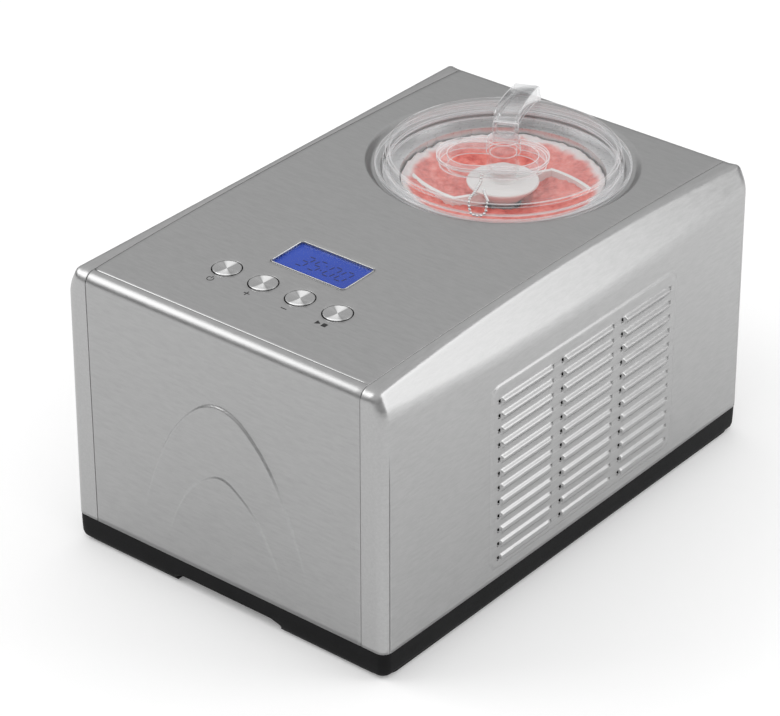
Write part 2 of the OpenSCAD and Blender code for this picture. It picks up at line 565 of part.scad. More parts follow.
module intermediate_axle() color([0.7, 0.7, 0.7]) translate([mid_x, bowl_y, 37.5]) cylinder(r = 2.5, h = 26.4);
module motor_rotor() color([0.75, 0.75, 0.75]) translate([pin_x, bowl_y, 0]) {
  translate([0, 0, 8.4]) cylinder(r = 2.5, h = 40.4);
  difference() {
    translate([0, 0, 42]) rotate([0, 0, 180/pinion_teeth]) gear(pinion_teeth, mod_b, 6.5);
    translate([0, 0, 41]) cylinder(r = 2.5, h = 10);
  }
  difference() {
    translate([0, 0, 13]) cylinder(r = 15, h = 15);
    translate([0, 0, 12]) cylinder(r = 2.5, h = 20);
  }
}
module motor_can() color([0.3, 0.31, 0.33]) translate([pin_x, bowl_y, 0]) difference() {
  union() {
    translate([0, 0, 6]) cylinder(r = 29, h = 29.7);
  }
  translate([0, 0, 9]) cylinder(r = 16, h = 23.5);
  translate([0, 0, 7.9]) cylinder(r = 2.5 + fit, h = 40);
}
module box_outline(t = 0) union() {
  translate([pin_x, bowl_y - 34 + t]) square([-pin_x, 68 - 2*t]);
  translate([0, bowl_y]) circle(r = 34 - t);
  translate([pin_x, bowl_y]) scale(1) circle(r = 34 - t);
}
module gearbox_housing() color([0.15, 0.15, 0.16]) difference() {
  union() {
    translate([0, 0, 36]) linear_extrude(height = 28) box_outline();
  }
  translate([0, 0, 39]) linear_extrude(height = 40) box_outline(2.5);
  translate([0, bowl_y, 30]) cylinder(r = 8.6, h = 40);
  translate([0, bowl_y, 39]) cylinder(r = 12, h = 3.1);
  translate([pin_x, bowl_y, 30]) cylinder(r = 5, h = 12);
  translate([mid_x, bowl_y, 30]) cylinder(r = 2.6, h = 12);
}
module gearbox_cover() color([0.18, 0.18, 0.19]) difference() {
  translate([0, 0, 64]) linear_extrude(height = 2.6) box_outline();
  translate([0, bowl_y, 60]) cylinder(r = 8, h = 12);
  translate([mid_x, bowl_y, 60]) cylinder(r = 2.6, h = 12);
}

// ---------- refrigeration ----------

cx = -60; cy = -115;
module compressor() color([0.08, 0.08, 0.09]) {
  translate([cx, cy, 0]) {
    rotate_extrude($fn = 72) polygon(concat([[0, 20], [40, 20], [47, 24], [51, 32], [52, 42], [52, 74], [53.5, 74], [53.5, 78], [52, 78]],
      [for (a = [0:10:90]) [4 + 48*cos(a), 112 + 36*sin(a)]], [[0, 148]]));
    difference() {
      translate([-53, -53, 14]) cube([106, 106, 3]);
      for (x = [-44, 44], y = [-44, 44]) translate([x, y, 0]) cylinder(r = 8.3, h = 30);
      translate([-30, -60, 10]) cube([60, 22, 10]);
      translate([-30, 38, 10]) cube([60, 22, 10]);
    }
    translate([0, 0, 16.9]) cylinder(r = 34, h = 4);
    // terminal box with start relay
    translate([36, -20, 60]) cube([34, 40, 44]);
  }
}
module compressor_grommets() color([0.1, 0.1, 0.1]) for (x = [-44, 44], y = [-44, 44]) translate([cx + x, cy + y, 0]) difference() {
  union() {
    translate([0, 0, 9.1]) cylinder(r = 11, h = 4.6);
    translate([0, 0, 9.1]) cylinder(r = 8, h = 10.5);
    translate([0, 0, 17.3]) cylinder(r = 11, h = 3);
  }
  translate([0, 0, 5]) cylinder(r = 3.3, h = 30);
}
module compressor_bolts() color([0.6, 0.6, 0.6]) for (x = [-44, 44], y = [-44, 44]) translate([cx + x, cy + y, 0]) {
  translate([0, 0, 9.1]) cylinder(r = 3, h = 15);
  translate([0, 0, 20.5]) cylinder(r = 5.6, h = 3, $fn = 6);
}
qx = 107; qy = -120; qw = 24; ql = 138; qz = 32; qh = 136;
module condenser() color([0.74, 0.75, 0.76]) {
  for (i = [0:22]) translate([qx, qy + 2 + i*(ql - 5.2)/22, qz]) cube([qw, 1.2, qh]);
  for (z = [qz + 14, qz + 50, qz + 86, qz + 122], x = [qx + 7, qx + 17])
    translate([x, qy - 6, z]) rotate([-90, 0, 0]) cylinder(r = 3.5, h = ql + 12);
  for (y = [qy, qy + ql - 1.6]) translate([qx - 2, y, qz - 4]) cube([qw + 4, 1.6, qh + 8]);
}
fx = 79; fcy = -51; fcz = 99;
module fan_frame() color([0.07, 0.07, 0.075]) difference() {
  translate([fx, fcy - 48, fcz - 48]) cube([25, 96, 96]);
  translate([fx - 1, fcy, fcz]) rotate([0, 90, 0]) difference() {
    cylinder(r = 45.5, h = 27);
    // spider that carries the motor
    translate([0, 0, 0]) cylinder(r = 17, h = 4.4);
    for (a = [45:90:315]) rotate([0, 0, a]) translate([0, -2.4, 0]) cube([50, 4.8, 4.4]);
  }
  for (y = [-42, 42], z = [-42, 42]) translate([fx - 1, fcy + y, fcz + z]) rotate([0, 90, 0]) cylinder(r = 2.2, h = 27);
}
module fan_motor() color([0.15, 0.15, 0.16]) translate([fx + 4.5, fcy, fcz]) rotate([0, 90, 0]) difference() {
  union() {
    cylinder(r = 15, h = 10);
    cylinder(r = 8, h = 12);
  }
  translate([0, 0, 2]) cylinder(r = 1.5 + fit, h = 20);
}
module fan_rotor() color([0.1, 0.1, 0.11]) translate([fx + 4.5, fcy, fcz]) rotate([0, 90, 0]) {
  difference() {
    translate([0, 0, 2.2]) cylinder(r = 18, h = 17);
    translate([0, 0, 1]) cylinder(r = 16, h = 15);
  }
  translate([0, 0, 4]) cylinder(r = 1.5, h = 14);
  for (i = [0:6]) rotate([0, 0, i*360/7]) translate([16.5, 0, 11.2]) rotate([38, 0, 0]) translate([0, -9, -0.8]) cube([26, 18, 1.6]);
}
module filter_drier() color([0.72, 0.43, 0.27]) translate([34, -62, 0]) rotate_extrude($fn = 40) polygon([
  [0, 34], [3, 34], [3, 42], [9, 50], [9, 112], [3, 120], [3, 128], [0, 128]]);
module capillary_tube() color([0.75, 0.46, 0.3]) tube(smooth([[34, -62, 31], [34, -60, 26], [30, -48, 24], [14, -40, 40], [4, -30, 64],
  [0, -24, 80], [3, bowl_y - coil_r - 34, 87], [5.4, bowl_y - coil_r - 28, 87.9]], 4), 1.2, 6);
module discharge_line() color([0.72, 0.43, 0.27]) tube(smooth([[cx + 34.3, cy - 30.3, 130.7], [cx + 40, cy - 35.2, 137], [cx + 66, cy - 48, 150],
  [40, -172, 168], [90, -168, 172], [113, -150, 166], [114, -134, 156], [114, qy - 8.5, qz + 122]], 5), 3, 8);
module liquid_line() color([0.72, 0.43, 0.27]) tube(smooth([[114, qy - 8.5, qz + 14], [112, -140, 42], [96, -146, 36], [66, -128, 60], [46, -96, 120],
  [36, -70, 140], [34, -62, 131]], 5), 2.4, 8);
module suction_line() color([0.72, 0.43, 0.27]) tube(smooth([[5.4, bowl_y - coil_r - 24.6, 201], [-8, bowl_y - coil_r - 34, 199], [-30, -32, 180], [-46, -42, 150],
  [-50, -50, 124], [-50, -59.5, 112]], 5), 4, 8);
module power_board() color([0.12, 0.3, 0.14]) {
  difference() {
    translate([8, -202, 11.4]) cube([68, 62, 1.6]);
    for (x = [14, 70], y = [-196, -146]) translate([x, y, 5]) cylinder(r = 1.8, h = 12);
  }
  translate([14, -186, 12.9]) cube([26, 30, 22]);
  translate([48, -184, 12.9]) cube([12, 16, 18]);
  translate([56, -158, 12.9]) cylinder(r = 6, h = 20);
  for (i = [0:2]) translate([66, -186 + i*10, 12.9]) cylinder(r = 4, h = 12);
}

base_tray();
rubber_feet();
front_panel();
front_bend();
control_panel();
top_panel();
rear_bend();
rear_panel();
lid_recess();
left_side_panel();
right_side_panel();
base_screws();
rear_screws();
cord_gland();
display_bezel();
display_window();
lcd_module();
control_board();
tact_switches();
button_guide();
button_power();
button_plus();
button_minus();
button_start();
evaporator_well();
well_gasket();
evaporator_coil();
foam_jacket();
chassis_bridge();
bowl();
bowl_flange();
bowl_dish();
bowl_hub();
dasher();
lid();
lid_handle();
bead_chain();
drive_shaft();
output_gear();
shaft_bushes();
intermediate_gear();
intermediate_axle();
motor_rotor();
motor_can();
gearbox_housing();
gearbox_cover();
compressor();
compressor_grommets();
compressor_bolts();
condenser();
fan_frame();
fan_motor();
fan_rotor();
filter_drier();
capillary_tube();
discharge_line();
liquid_line();
suction_line();
power_board();
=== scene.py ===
import bpy, bmesh, math, json
import numpy as np
from mathutils import Vector, Matrix, noise
from mathutils.geometry import delaunay_2d_cdt


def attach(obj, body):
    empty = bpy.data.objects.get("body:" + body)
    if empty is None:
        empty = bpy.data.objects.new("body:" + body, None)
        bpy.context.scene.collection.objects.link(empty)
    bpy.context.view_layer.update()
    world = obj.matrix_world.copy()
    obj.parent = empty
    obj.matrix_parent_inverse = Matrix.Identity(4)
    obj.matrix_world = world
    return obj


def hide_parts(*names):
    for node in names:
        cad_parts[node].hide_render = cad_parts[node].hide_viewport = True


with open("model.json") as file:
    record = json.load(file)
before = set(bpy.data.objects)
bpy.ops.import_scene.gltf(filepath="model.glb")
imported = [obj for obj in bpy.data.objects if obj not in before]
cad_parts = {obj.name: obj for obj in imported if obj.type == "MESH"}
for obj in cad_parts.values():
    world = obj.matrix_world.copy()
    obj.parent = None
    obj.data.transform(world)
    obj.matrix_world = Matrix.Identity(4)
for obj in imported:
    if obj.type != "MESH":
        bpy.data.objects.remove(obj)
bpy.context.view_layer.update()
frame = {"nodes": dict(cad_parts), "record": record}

MM = 0.001
scene = bpy.context.scene
AX, AY = 0.0, 99.0            # the bowl's axis, in mm

# ------------------------------------------------------------------ camera
cam_data = bpy.data.cameras.new("camera")
cam_data.sensor_fit, cam_data.sensor_width, cam_data.lens = "HORIZONTAL", 36.0, 150.64
cam_data.clip_start, cam_data.clip_end = 0.05, 50
cam = bpy.data.objects.new("camera", cam_data)
scene.collection.objects.link(cam)
cam.location = (1.2588, -1.5798, 1.2970)
cam.rotation_mode = "QUATERNION"
cam.rotation_quaternion = (Vector((-0.00864, -0.01979, 0.110)) - cam.location).to_track_quat("-Z", "Y")
scene.camera = cam

# ------------------------------------------------------------------ materials
def ntree(name):
    m = bpy.data.materials.new(name)
    m.use_nodes = True
    nt = m.node_tree
    for n in list(nt.nodes):
        nt.nodes.remove(n)
    out = nt.nodes.new("ShaderNodeOutputMaterial")
    bsdf = nt.nodes.new("ShaderNodeBsdfPrincipled")
    nt.links.new(bsdf.outputs[0], out.inputs[0])
    return m, nt, bsdf, out

def node(nt, kind, **kw):
    n = nt.nodes.new(kind)
    for k, v in kw.items():
        if k in n.inputs:
            n.inputs[k].default_value = v
        else:
            setattr(n, k, v)
    return n

def obj_noise(nt, scale, sx=1.0, sy=1.0, sz=1.0, detail=3.0, rough=0.55, dist=0.0):
    tc = nt.nodes.new("ShaderNodeTexCoord")
    mp = nt.nodes.new("ShaderNodeMapping")
    mp.inputs["Scale"].default_value = (sx, sy, sz)
    nt.links.new(tc.outputs["Object"], mp.inputs["Vector"])
    n = node(nt, "ShaderNodeTexNoise", Scale=scale, Detail=detail, Roughness=rough, Distortion=dist)
    nt.links.new(mp.outputs[0], n.inputs["Vector"])
    return n

def ramp(nt, src, stops):
    r = nt.nodes.new("ShaderNodeValToRGB")
    r.color_ramp.elements[0].position, r.color_ramp.elements[1].position = stops[0][0], stops[-1][0]
    r.color_ramp.elements[0].color = (*stops[0][1], 1)
    r.color_ramp.elements[1].color = (*stops[-1][1], 1)
    for p, c in stops[1:-1]:
        r.color_ramp.elements.new(p).color = (*c, 1)
    nt.links.new(src, r.inputs[0])
    return r

def remap(nt, src, a, b, c, d):
    r = node(nt, "ShaderNodeMapRange")
    for k, v in zip(("From Min", "From Max", "To Min", "To Max"), (a, b, c, d)):
        r.inputs[k].default_value = v
    nt.links.new(src, r.inputs["Value"])
    return r

def bump(nt, bsdf, src, strength, distance):
    b = node(nt, "ShaderNodeBump", Strength=strength, Distance=distance)
    nt.links.new(src, b.inputs["Height"])
    nt.links.new(b.outputs[0], bsdf.inputs["Normal"])
    return b

def brushed(name, base=0.45, grain=(1, 0, 0), rough=(0.24, 0.36), depth=0.06, tone=0.10, warm=0.0):
    """Stainless sheet, brushed along one axis: long fine scratches in colour, roughness and bump."""
    m, nt, b, _ = ntree(name)
    s = [260.0 if g else 1500.0 for g in grain]
    fine = obj_noise(nt, 1.0, *[q * 1.6 for q in s], detail=3.0)
    coarse = obj_noise(nt, 1.0, *[q * 0.35 for q in s], detail=3.0)
    cloud = obj_noise(nt, 9.0, detail=2.0)
    mix = node(nt, "ShaderNodeMath", operation="MULTIPLY_ADD")
    nt.links.new(fine.outputs[0], mix.inputs[0]); mix.inputs[1].default_value = 0.6
    nt.links.new(coarse.outputs[0], mix.inputs[2])
    c0, c1 = base * (1 - tone), base * (1 + tone)
    col = ramp(nt, mix.outputs[0], [(0.55, (c0, c0, c0 * (1 - warm))), (1.05, (c1, c1, c1 * (1 - warm)))])
    nt.links.new(col.outputs[0], b.inputs["Base Color"])
    r = remap(nt, mix.outputs[0], 0.5, 1.1, rough[0], rough[1])
    add = node(nt, "ShaderNodeMath", operation="MULTIPLY_ADD")
    nt.links.new(cloud.outputs[0], add.inputs[0]); add.inputs[1].default_value = 0.05
    nt.links.new(r.outputs[0], add.inputs[2])
    nt.links.new(add.outputs[0], b.inputs["Roughness"])
    b.inputs["Metallic"].default_value = 1.0
    bump(nt, b, mix.outputs[0], depth, 0.0002)
    return m

def plastic(name, col, rough=(0.35, 0.5), scale=900, depth=0.12, tone=0.15, metal=0.0, spec=0.5, dist=0.0002):
    m, nt, b, _ = ntree(name)
    n = obj_noise(nt, scale, detail=3.0)
    big = obj_noise(nt, scale / 30, detail=3.0)
    lo = tuple(c * (1 - tone) for c in col); hi = tuple(min(1, c * (1 + tone)) for c in col)
    nt.links.new(ramp(nt, big.outputs[0], [(0.3, lo), (0.7, hi)]).outputs[0], b.inputs["Base Color"])
    nt.links.new(remap(nt, n.outputs[0], 0.3, 0.7, *rough).outputs[0], b.inputs["Roughness"])
    b.inputs["Metallic"].default_value = metal
    b.inputs["Specular IOR Level"].default_value = spec
    bump(nt, b, n.outputs[0], depth, dist)
    return m

def clear(name, tint=(0.992, 0.993, 0.994), rough=0.05, low=0.01, high=1.0, power=1.35, edge=0.0, rim=0.55, haze=0.0, haze_z=0.0):
    """Clear moulded plastic: light goes straight through, with gloss that grows towards grazing angles; along edges
    found by a bevel mask a whitish mix is laid on as a painted edge highlight.
    """
    m, nt, b, out = ntree(name)
    nt.nodes.remove(b)
    tr = node(nt, "ShaderNodeBsdfTransparent"); tr.inputs[0].default_value = (*tint, 1)
    gl = node(nt, "ShaderNodeBsdfGlossy"); gl.inputs["Roughness"].default_value = rough
    gl.inputs["Color"].default_value = (1, 1, 1, 1)
    fr = node(nt, "ShaderNodeFresnel")
    geo = nt.nodes.new("ShaderNodeNewGeometry")
    # thin wall: both faces reflect like the outside
    ior = node(nt, "ShaderNodeMath", operation="MULTIPLY_ADD"); ior.inputs[1].default_value = 1 / 1.49 - 1.49; ior.inputs[2].default_value = 1.49
    nt.links.new(geo.outputs["Backfacing"], ior.inputs[0]); nt.links.new(ior.outputs[0], fr.inputs["IOR"])
    n = obj_noise(nt, 60, detail=2.0)
    bp = node(nt, "ShaderNodeBump", Strength=0.05, Distance=0.0006)
    nt.links.new(n.outputs[0], bp.inputs["Height"])
    nt.links.new(bp.outputs[0], gl.inputs["Normal"]); nt.links.new(bp.outputs[0], fr.inputs["Normal"])
    pw = node(nt, "ShaderNodeMath", operation="POWER")
    nt.links.new(fr.outputs[0], pw.inputs[0]); pw.inputs[1].default_value = power
    f = remap(nt, pw.outputs[0], 0.0, 1.0, low, high)
    mx = node(nt, "ShaderNodeMixShader")
    nt.links.new(f.outputs[0], mx.inputs[0]); nt.links.new(tr.outputs[0], mx.inputs[1]); nt.links.new(gl.outputs[0], mx.inputs[2])
    last = mx
    # painted edge highlight: where the bevel normal parts from the surface normal, a whitish translucent and diffuse
    # mix (up to rim) is laid over the clear shader in place of light caught in the edges
    if edge:
        bv = nt.nodes.new("ShaderNodeBevel"); bv.samples = 6; bv.inputs["Radius"].default_value = edge
        dt = node(nt, "ShaderNodeVectorMath", operation="DOT_PRODUCT")
        nt.links.new(bv.outputs[0], dt.inputs[0]); nt.links.new(geo.outputs["Normal"], dt.inputs[1])
        inv = node(nt, "ShaderNodeMath", operation="SUBTRACT"); inv.inputs[0].default_value = 1.0
        nt.links.new(dt.outputs["Value"], inv.inputs[1])
        k = remap(nt, inv.outputs[0], 0.004, 0.07, 0.0, rim)
        # the same whitish mix is also laid, by up to haze, over everything above haze_z
        if haze:
            tc = nt.nodes.new("ShaderNodeTexCoord"); sp_ = nt.nodes.new("ShaderNodeSeparateXYZ")
            nt.links.new(tc.outputs["Object"], sp_.inputs[0])
            hz = remap(nt, sp_.outputs[2], haze_z, haze_z + 0.0006, 0.0, haze)
            mk = node(nt, "ShaderNodeMath", operation="MAXIMUM")
            nt.links.new(k.outputs[0], mk.inputs[0]); nt.links.new(hz.outputs[0], mk.inputs[1])
            k = mk
        painted_edge_translucent = node(nt, "ShaderNodeBsdfTranslucent"); painted_edge_translucent.inputs[0].default_value = (0.93, 0.94, 0.95, 1)
        painted_edge_diffuse = node(nt, "ShaderNodeBsdfDiffuse"); painted_edge_diffuse.inputs[0].default_value = (0.93, 0.94, 0.95, 1)
        both = node(nt, "ShaderNodeMixShader"); nt.links.new(painted_edge_translucent.outputs[0], both.inputs[1]); nt.links.new(painted_edge_diffuse.outputs[0], both.inputs[2])
        both.inputs[0].default_value = 0.7
        last = node(nt, "ShaderNodeMixShader")
        nt.links.new(k.outputs[0], last.inputs[0]); nt.links.new(mx.outputs[0], last.inputs[1]); nt.links.new(both.outputs[0], last.inputs[2])
    nt.links.new(last.outputs[0], out.inputs[0])
    return m

steel_x = brushed("steel_brushed_across", base=0.375, grain=(1, 0, 0), rough=(0.27, 0.35), tone=0.06)
steel_y = brushed("steel_brushed_along", base=0.41, grain=(0, 1, 0), rough=(0.26, 0.34), tone=0.06)
chrome = brushed("chrome_trim", base=0.75, grain=(0, 0, 0), rough=(0.08, 0.14), depth=0.02, tone=0.03)
black_base = plastic("base_black_plastic", (0.0055, 0.0055, 0.006), (0.5, 0.65), 1400, 0.2, 0.2, spec=0.12)
# near-black material painted into the louvre end pits as shade, in place of the shadowed openings there
painted_pit_shade = plastic("vent_pit_painted_shade", (0.006, 0.006, 0.006), (0.7, 0.9), 900, 0.1, 0.2, spec=0.1)

# ------------------------------------------------------------------ mesh tools
class Build:
    def __init__(s):
        s.v, s.f, s.m = [], [], []
    def grid(s, P, mat=0, wu=False, wv=False, fmat=None):
        P = np.asarray(P, float)
        nu, nv, _ = P.shape
        o = len(s.v)
        s.v += P.reshape(-1, 3).tolist()
        for i in range(nu if wu else nu - 1):
            a, b = o + i * nv, o + ((i + 1) % nu) * nv
            for j in range(nv if wv else nv - 1):
                k = (j + 1) % nv
                s.f.append((a + j, b + j, b + k, a + k))
                s.m.append(int(fmat[i][j]) if fmat is not None else mat)
    def tris(s, pts, faces, mat=0):
        o = len(s.v)
        s.v += [list(map(float, p)) for p in pts]
        s.f += [tuple(o + i for i in f) for f in faces]
        s.m += [mat] * len(faces)
    def done(s, name, body, mats, replaces=(), test=None, sharp=40, solid=None, weld=0.002):
        me = bpy.data.meshes.new(name)
        me.from_pydata([(x * MM, y * MM, z * MM) for x, y, z in s.v], [], s.f)
        for m in mats:
            me.materials.append(m)
        me.polygons.foreach_set("material_index", s.m)
        bm = bmesh.new(); bm.from_mesh(me)
        bmesh.ops.remove_doubles(bm, verts=bm.verts, dist=weld * MM)
        bmesh.ops.dissolve_degenerate(bm, edges=bm.edges, dist=1e-7)
        bmesh.ops.recalc_face_normals(bm, faces=bm.faces)
        if test is not None:
            p, d = Vector(test[0]) * MM, Vector(test[1])
            f = min(bm.faces, key=lambda f: (f.calc_center_median() - p).length)
            if f.normal.dot(d) < 0:
                bmesh.ops.reverse_faces(bm, faces=bm.faces)
        bm.to_mesh(me); bm.free()
        me.polygons.foreach_set("use_smooth", [True] * len(me.polygons))
        me.set_sharp_from_angle(angle=math.radians(sharp))
        me.update()
        ob = bpy.data.objects.new(name, me)
        scene.collection.objects.link(ob)
        if solid:
            md = ob.modifiers.new("thickness", "SOLIDIFY")
            md.thickness, md.offset, md.use_even_offset, md.use_rim = solid * MM, -1.0, False, True
        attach(ob, body)
        if replaces:
            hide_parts(*replaces)
        return ob

def lathe(profile, n=96, cx=AX, cy=AY, closed=True, a0=0.0, a1=360.0):
    P = []
    full = abs(a1 - a0) >= 360
    for i in range(n if full else n + 1):
        a = math.radians(a0 + (a1 - a0) * i / n)
        P.append([(cx + r * math.cos(a), cy + r * math.sin(a), z) for r, z in profile])
    return P, full

def add_lathe(B, profile, n=96, cx=AX, cy=AY, closed=True, mat=0):
    P, full = lathe(profile, n, cx, cy)
    B.grid(P, mat, wu=True, wv=closed)

def rounded_rect(x0, y0, x1, y1, r, n=8):
    pts = []
    for cx, cy, a in ((x1 - r, y0 + r, -90), (x1 - r, y1 - r, 0), (x0 + r, y1 - r, 90), (x0 + r, y0 + r, 180)):
        for i in range(n + 1):
            t = math.radians(a + 90 * i / n)
            pts.append((cx + r * math.cos(t), cy + r * math.sin(t)))
    return pts

def circle(cx, cy, r, n):
    return [(cx + r * math.cos(2 * math.pi * i / n), cy + r * math.sin(2 * math.pi * i / n)) for i in range(n)]

def ss(t):
    t = np.clip(t, 0, 1)
    return t * t * (3 - 2 * t)

# ------------------------------------------------------------------ wrap panel: front, top and rear in one bent sheet
FY, RY, FR, RR = -210.0, 210.0, 9.0, 10.0
Y0, Y1 = FY + FR, RY - RR
ZE = 226 - 4.6
def zt(y):
    return 226 - 4.6 * (np.asarray(y, float) / 200.0) ** 2
HW = 120.25
LCD_Y, BTN_Y = -103.0, -145.6

def arch_z(x, outer):
    x = np.abs(np.asarray(x, float))
    if outer:
        return np.interp(x, [0, 8, 17, 26, 36, 45, 51, 60, 68, 76, 90, 130], [162, 160.8, 156.8, 149.4, 138.8, 126.5, 115.5, 95, 71, 45, -10, -170])
    return np.interp(x, [0, 6, 13, 20, 26, 33, 44, 56, 130], [106.7, 105.4, 101.2, 96, 90.5, 82, 61, 30, -160])

def smooth_arch(x, outer):
    xs = np.asarray(x, float)
    return sum(arch_z(xs + d, outer) * w for d, w in ((-5, .1), (-2.5, .2), (0, .4), (2.5, .2), (5, .1)))

def front_relief(x, z):
    h = np.zeros(np.broadcast(x, z).shape)
    for outer, amp, top, fade in ((True, 1.5, 125, 50), (False, 1.0, 90, 32)):
        a = smooth_arch(x, outer)
        slope = (smooth_arch(x + 1.0, outer) - smooth_arch(x - 1.0, outer)) / 2
        d = (a - z) / np.sqrt(1 + slope ** 2)
        k = np.clip((z - fade) / (top - fade), 0, 1)
        h = h + amp * k * ss((d + 0.8) / 1.6)
    return h

xs = np.unique(np.concatenate([np.arange(-84, 84.01, 0.8), np.linspace(-HW, -84, 9), np.linspace(84, HW, 9)]).round(4))
W = Build()
zf = np.unique(np.concatenate([np.linspace(21.5, 36, 4), np.arange(36, 166, 0.8), np.linspace(166, ZE - FR, 10)]).round(4))
X, Z = np.meshgrid(xs, zf, indexing="ij")
H = front_relief(X, Z)
W.grid(np.stack([X, FY - H, Z], -1))
bend_f = [(Y0 + FR * math.cos(math.radians(180 - a)), ZE - FR + FR * math.sin(math.radians(180 - a))) for a in np.linspace(0, 90, 19)]
W.grid([[(x, y, z) for y, z in bend_f] for x in xs])
bend_r = [(Y1 + RR * math.cos(math.radians(a)), ZE - RR + RR * math.sin(math.radians(a))) for a in np.linspace(90, 0, 13)]
W.grid([[(x, y, z) for y, z in bend_r] for x in xs])
zr = np.linspace(ZE - RR, 21.5, 24)
W.grid([[(x, RY, z) for z in zr] for x in xs])
# top, with its openings
ys = np.linspace(Y0, Y1, 101)
R_OUT = 100.9
loops = [[(x, Y0) for x in xs] + [(HW, y) for y in ys[1:-1]] + [(x, Y1) for x in xs[::-1]] + [(-HW, y) for y in ys[::-1][1:-1]],
         circle(AX, AY, R_OUT, 288)]
lcd_loop = rounded_rect(-33.4, LCD_Y - 17.9, 33.4, LCD_Y + 17.9, 3.2)
btn_loops = [circle(i * 32.6, BTN_Y, 11.15, 64) for i in (-1.5, -0.5, 0.5, 1.5)]
loops += [lcd_loop] + btn_loops
pts, edges = [], []
for lp in loops:
    o = len(pts)
    pts += lp
    edges += [(o + i, o + (i + 1) % len(lp)) for i in range(len(lp))]
arr = np.array(pts)
def hole(x, y, g):
    if math.hypot(x - AX, y - AY) < R_OUT + g: return True
    qx, qy = abs(x) - (33.4 - 3.2), abs(y - LCD_Y) - (17.9 - 3.2)
    if math.hypot(max(qx, 0), max(qy, 0)) < 3.2 + g: return True
    return any(math.hypot(x - i * 32.6, y - BTN_Y) < 11.15 + g for i in (-1.5, -0.5, 0.5, 1.5))
for x in np.arange(-117, 117.1, 3.25):
    for y in np.arange(Y0 + 2.5, Y1 - 2, 3.25):
        if not hole(x, y, 1.6):
            pts.append((float(x), float(y)))
vo, _, fo, _, _, _ = delaunay_2d_cdt([Vector(p) for p in pts], edges, [], 0, 1e-5)
keep = []
for f in fo:
    cx = sum(vo[i][0] for i in f) / len(f); cy = sum(vo[i][1] for i in f) / len(f)
    if not hole(cx, cy, 0.0):
        keep.append(f)
W.tris([(p[0], p[1], float(zt(p[1]))) for p in vo], keep)
# dished recess round the lid
rad = [R_OUT, 100.7, 100.5, 100.2, 99.8, 99.3, 98.7, 98.0, 97.3, 96.6, 95.9, 95.3, 94.8, 94.4, 93.6, 92.5, 90.5, 89.2, 88.7, 88.5, 88.5]
dz = [0] * 18 + [-0.12, -0.4, -2.6]
P = []
for i in range(288):
    a = 2 * math.pi * i / 288
    row = []
    for r, e in zip(rad, dz):
        x, y = AX + r * math.cos(a), AY + r * math.sin(a)
        k = float(ss((100.4 - r) / 5.8))
        row.append((x, y, float(zt(min(y, 200))) * (1 - k) + 220.5 * k + e))
    P.append(row)
W.grid(P, wu=True)
# turned-down edges of the openings
def rim(loop, cx, cy, inset):
    rows = []
    for x, y in loop:
        z = float(zt(y)); d = math.hypot(x - cx, y - cy)
        q = lambda s: (cx + (x - cx) * (d - s) / d, cy + (y - cy) * (d - s) / d)
        rows.append([(x, y, z), (*q(inset * .6), z - 0.1), (*q(inset), z - 0.4), (*q(inset), z - 2.6)])
    return rows
W.grid(rim(lcd_loop, 0, LCD_Y, 0.3), wu=True)
for k, lp in zip((-1.5, -0.5, 0.5, 1.5), btn_loops):
    W.grid(rim(lp, k * 32.6, BTN_Y, 0.3), wu=True)
# rolled edges along the side seams
line = [((FY, z), (-1, 0)) for z in zf] + [(p, ((p[0] - Y0) / FR, (p[1] - (ZE - FR)) / FR)) for p in bend_f[1:]] \
    + [((y, float(zt(y))), (0, 1)) for y in ys[1:]] + [(p, ((p[0] - Y1) / RR, (p[1] - (ZE - RR)) / RR)) for p in bend_r[1:]] \
    + [((RY, z), (1, 0)) for z in zr[1:]]
for s in (-1, 1):
    W.grid([[(s * (HW + dx), y - d * ny, z - d * nz) for dx, d in ((0, 0), (0.3, 0.08), (0.5, 0.35), (0.5, 3.0))] for (y, z), (ny, nz) in line])
wrap = W.done("steel_wrap_panel", "housing", [steel_x], ["front_panel", "front_bend", "control_panel", "top_panel", "rear_bend", "rear_panel", "lid_recess"], test=((0, -180, 222), (0, 0, 1)), sharp=50, solid=0.9)

# ------------------------------------------------------------------ side panels
SX = 121.25
def rmax(a, b, R):
    return np.where((a > -R) & (b > -R), np.hypot(np.maximum(a + R, 0), np.maximum(b + R, 0)) - R, np.maximum(a, b))
def smax(a, b, k):
    h = np.maximum(k - np.abs(a - b), 0) / k
    return np.maximum(a, b) + h * h * k * 0.25
def body_field(x, y, z):
    top = z - zt(np.clip(y, -200, 200))
    facet = 0.906 * x + 0.423 * z - (209.9 + 4.2 * (y / 210.0) ** 2)
    side = x - (142.4 - 0.9 * (y / 210.0) ** 2 - 1.7 * (z - 21.5) / 180.0)
    k = ss((x - 123) / 12)
    s = smax(smax(top, facet, 2.6), side, 2.6)
    s = rmax(s, -y - 210.0, 9.0 - 1.5 * k)
    return rmax(s, y - 210.0, 10.0 - 3.0 * k)
def cast(c, d):
    lo, hi = np.zeros(c.shape[:-1]), np.full(c.shape[:-1], 60.0)
    for _ in range(44):
        t = (lo + hi) / 2
        p = c + d * t[..., None]
        out = body_field(p[..., 0], p[..., 1], p[..., 2]) > 0
        hi = np.where(out, t, hi); lo = np.where(out, lo, t)
    return c + d * hi[..., None]

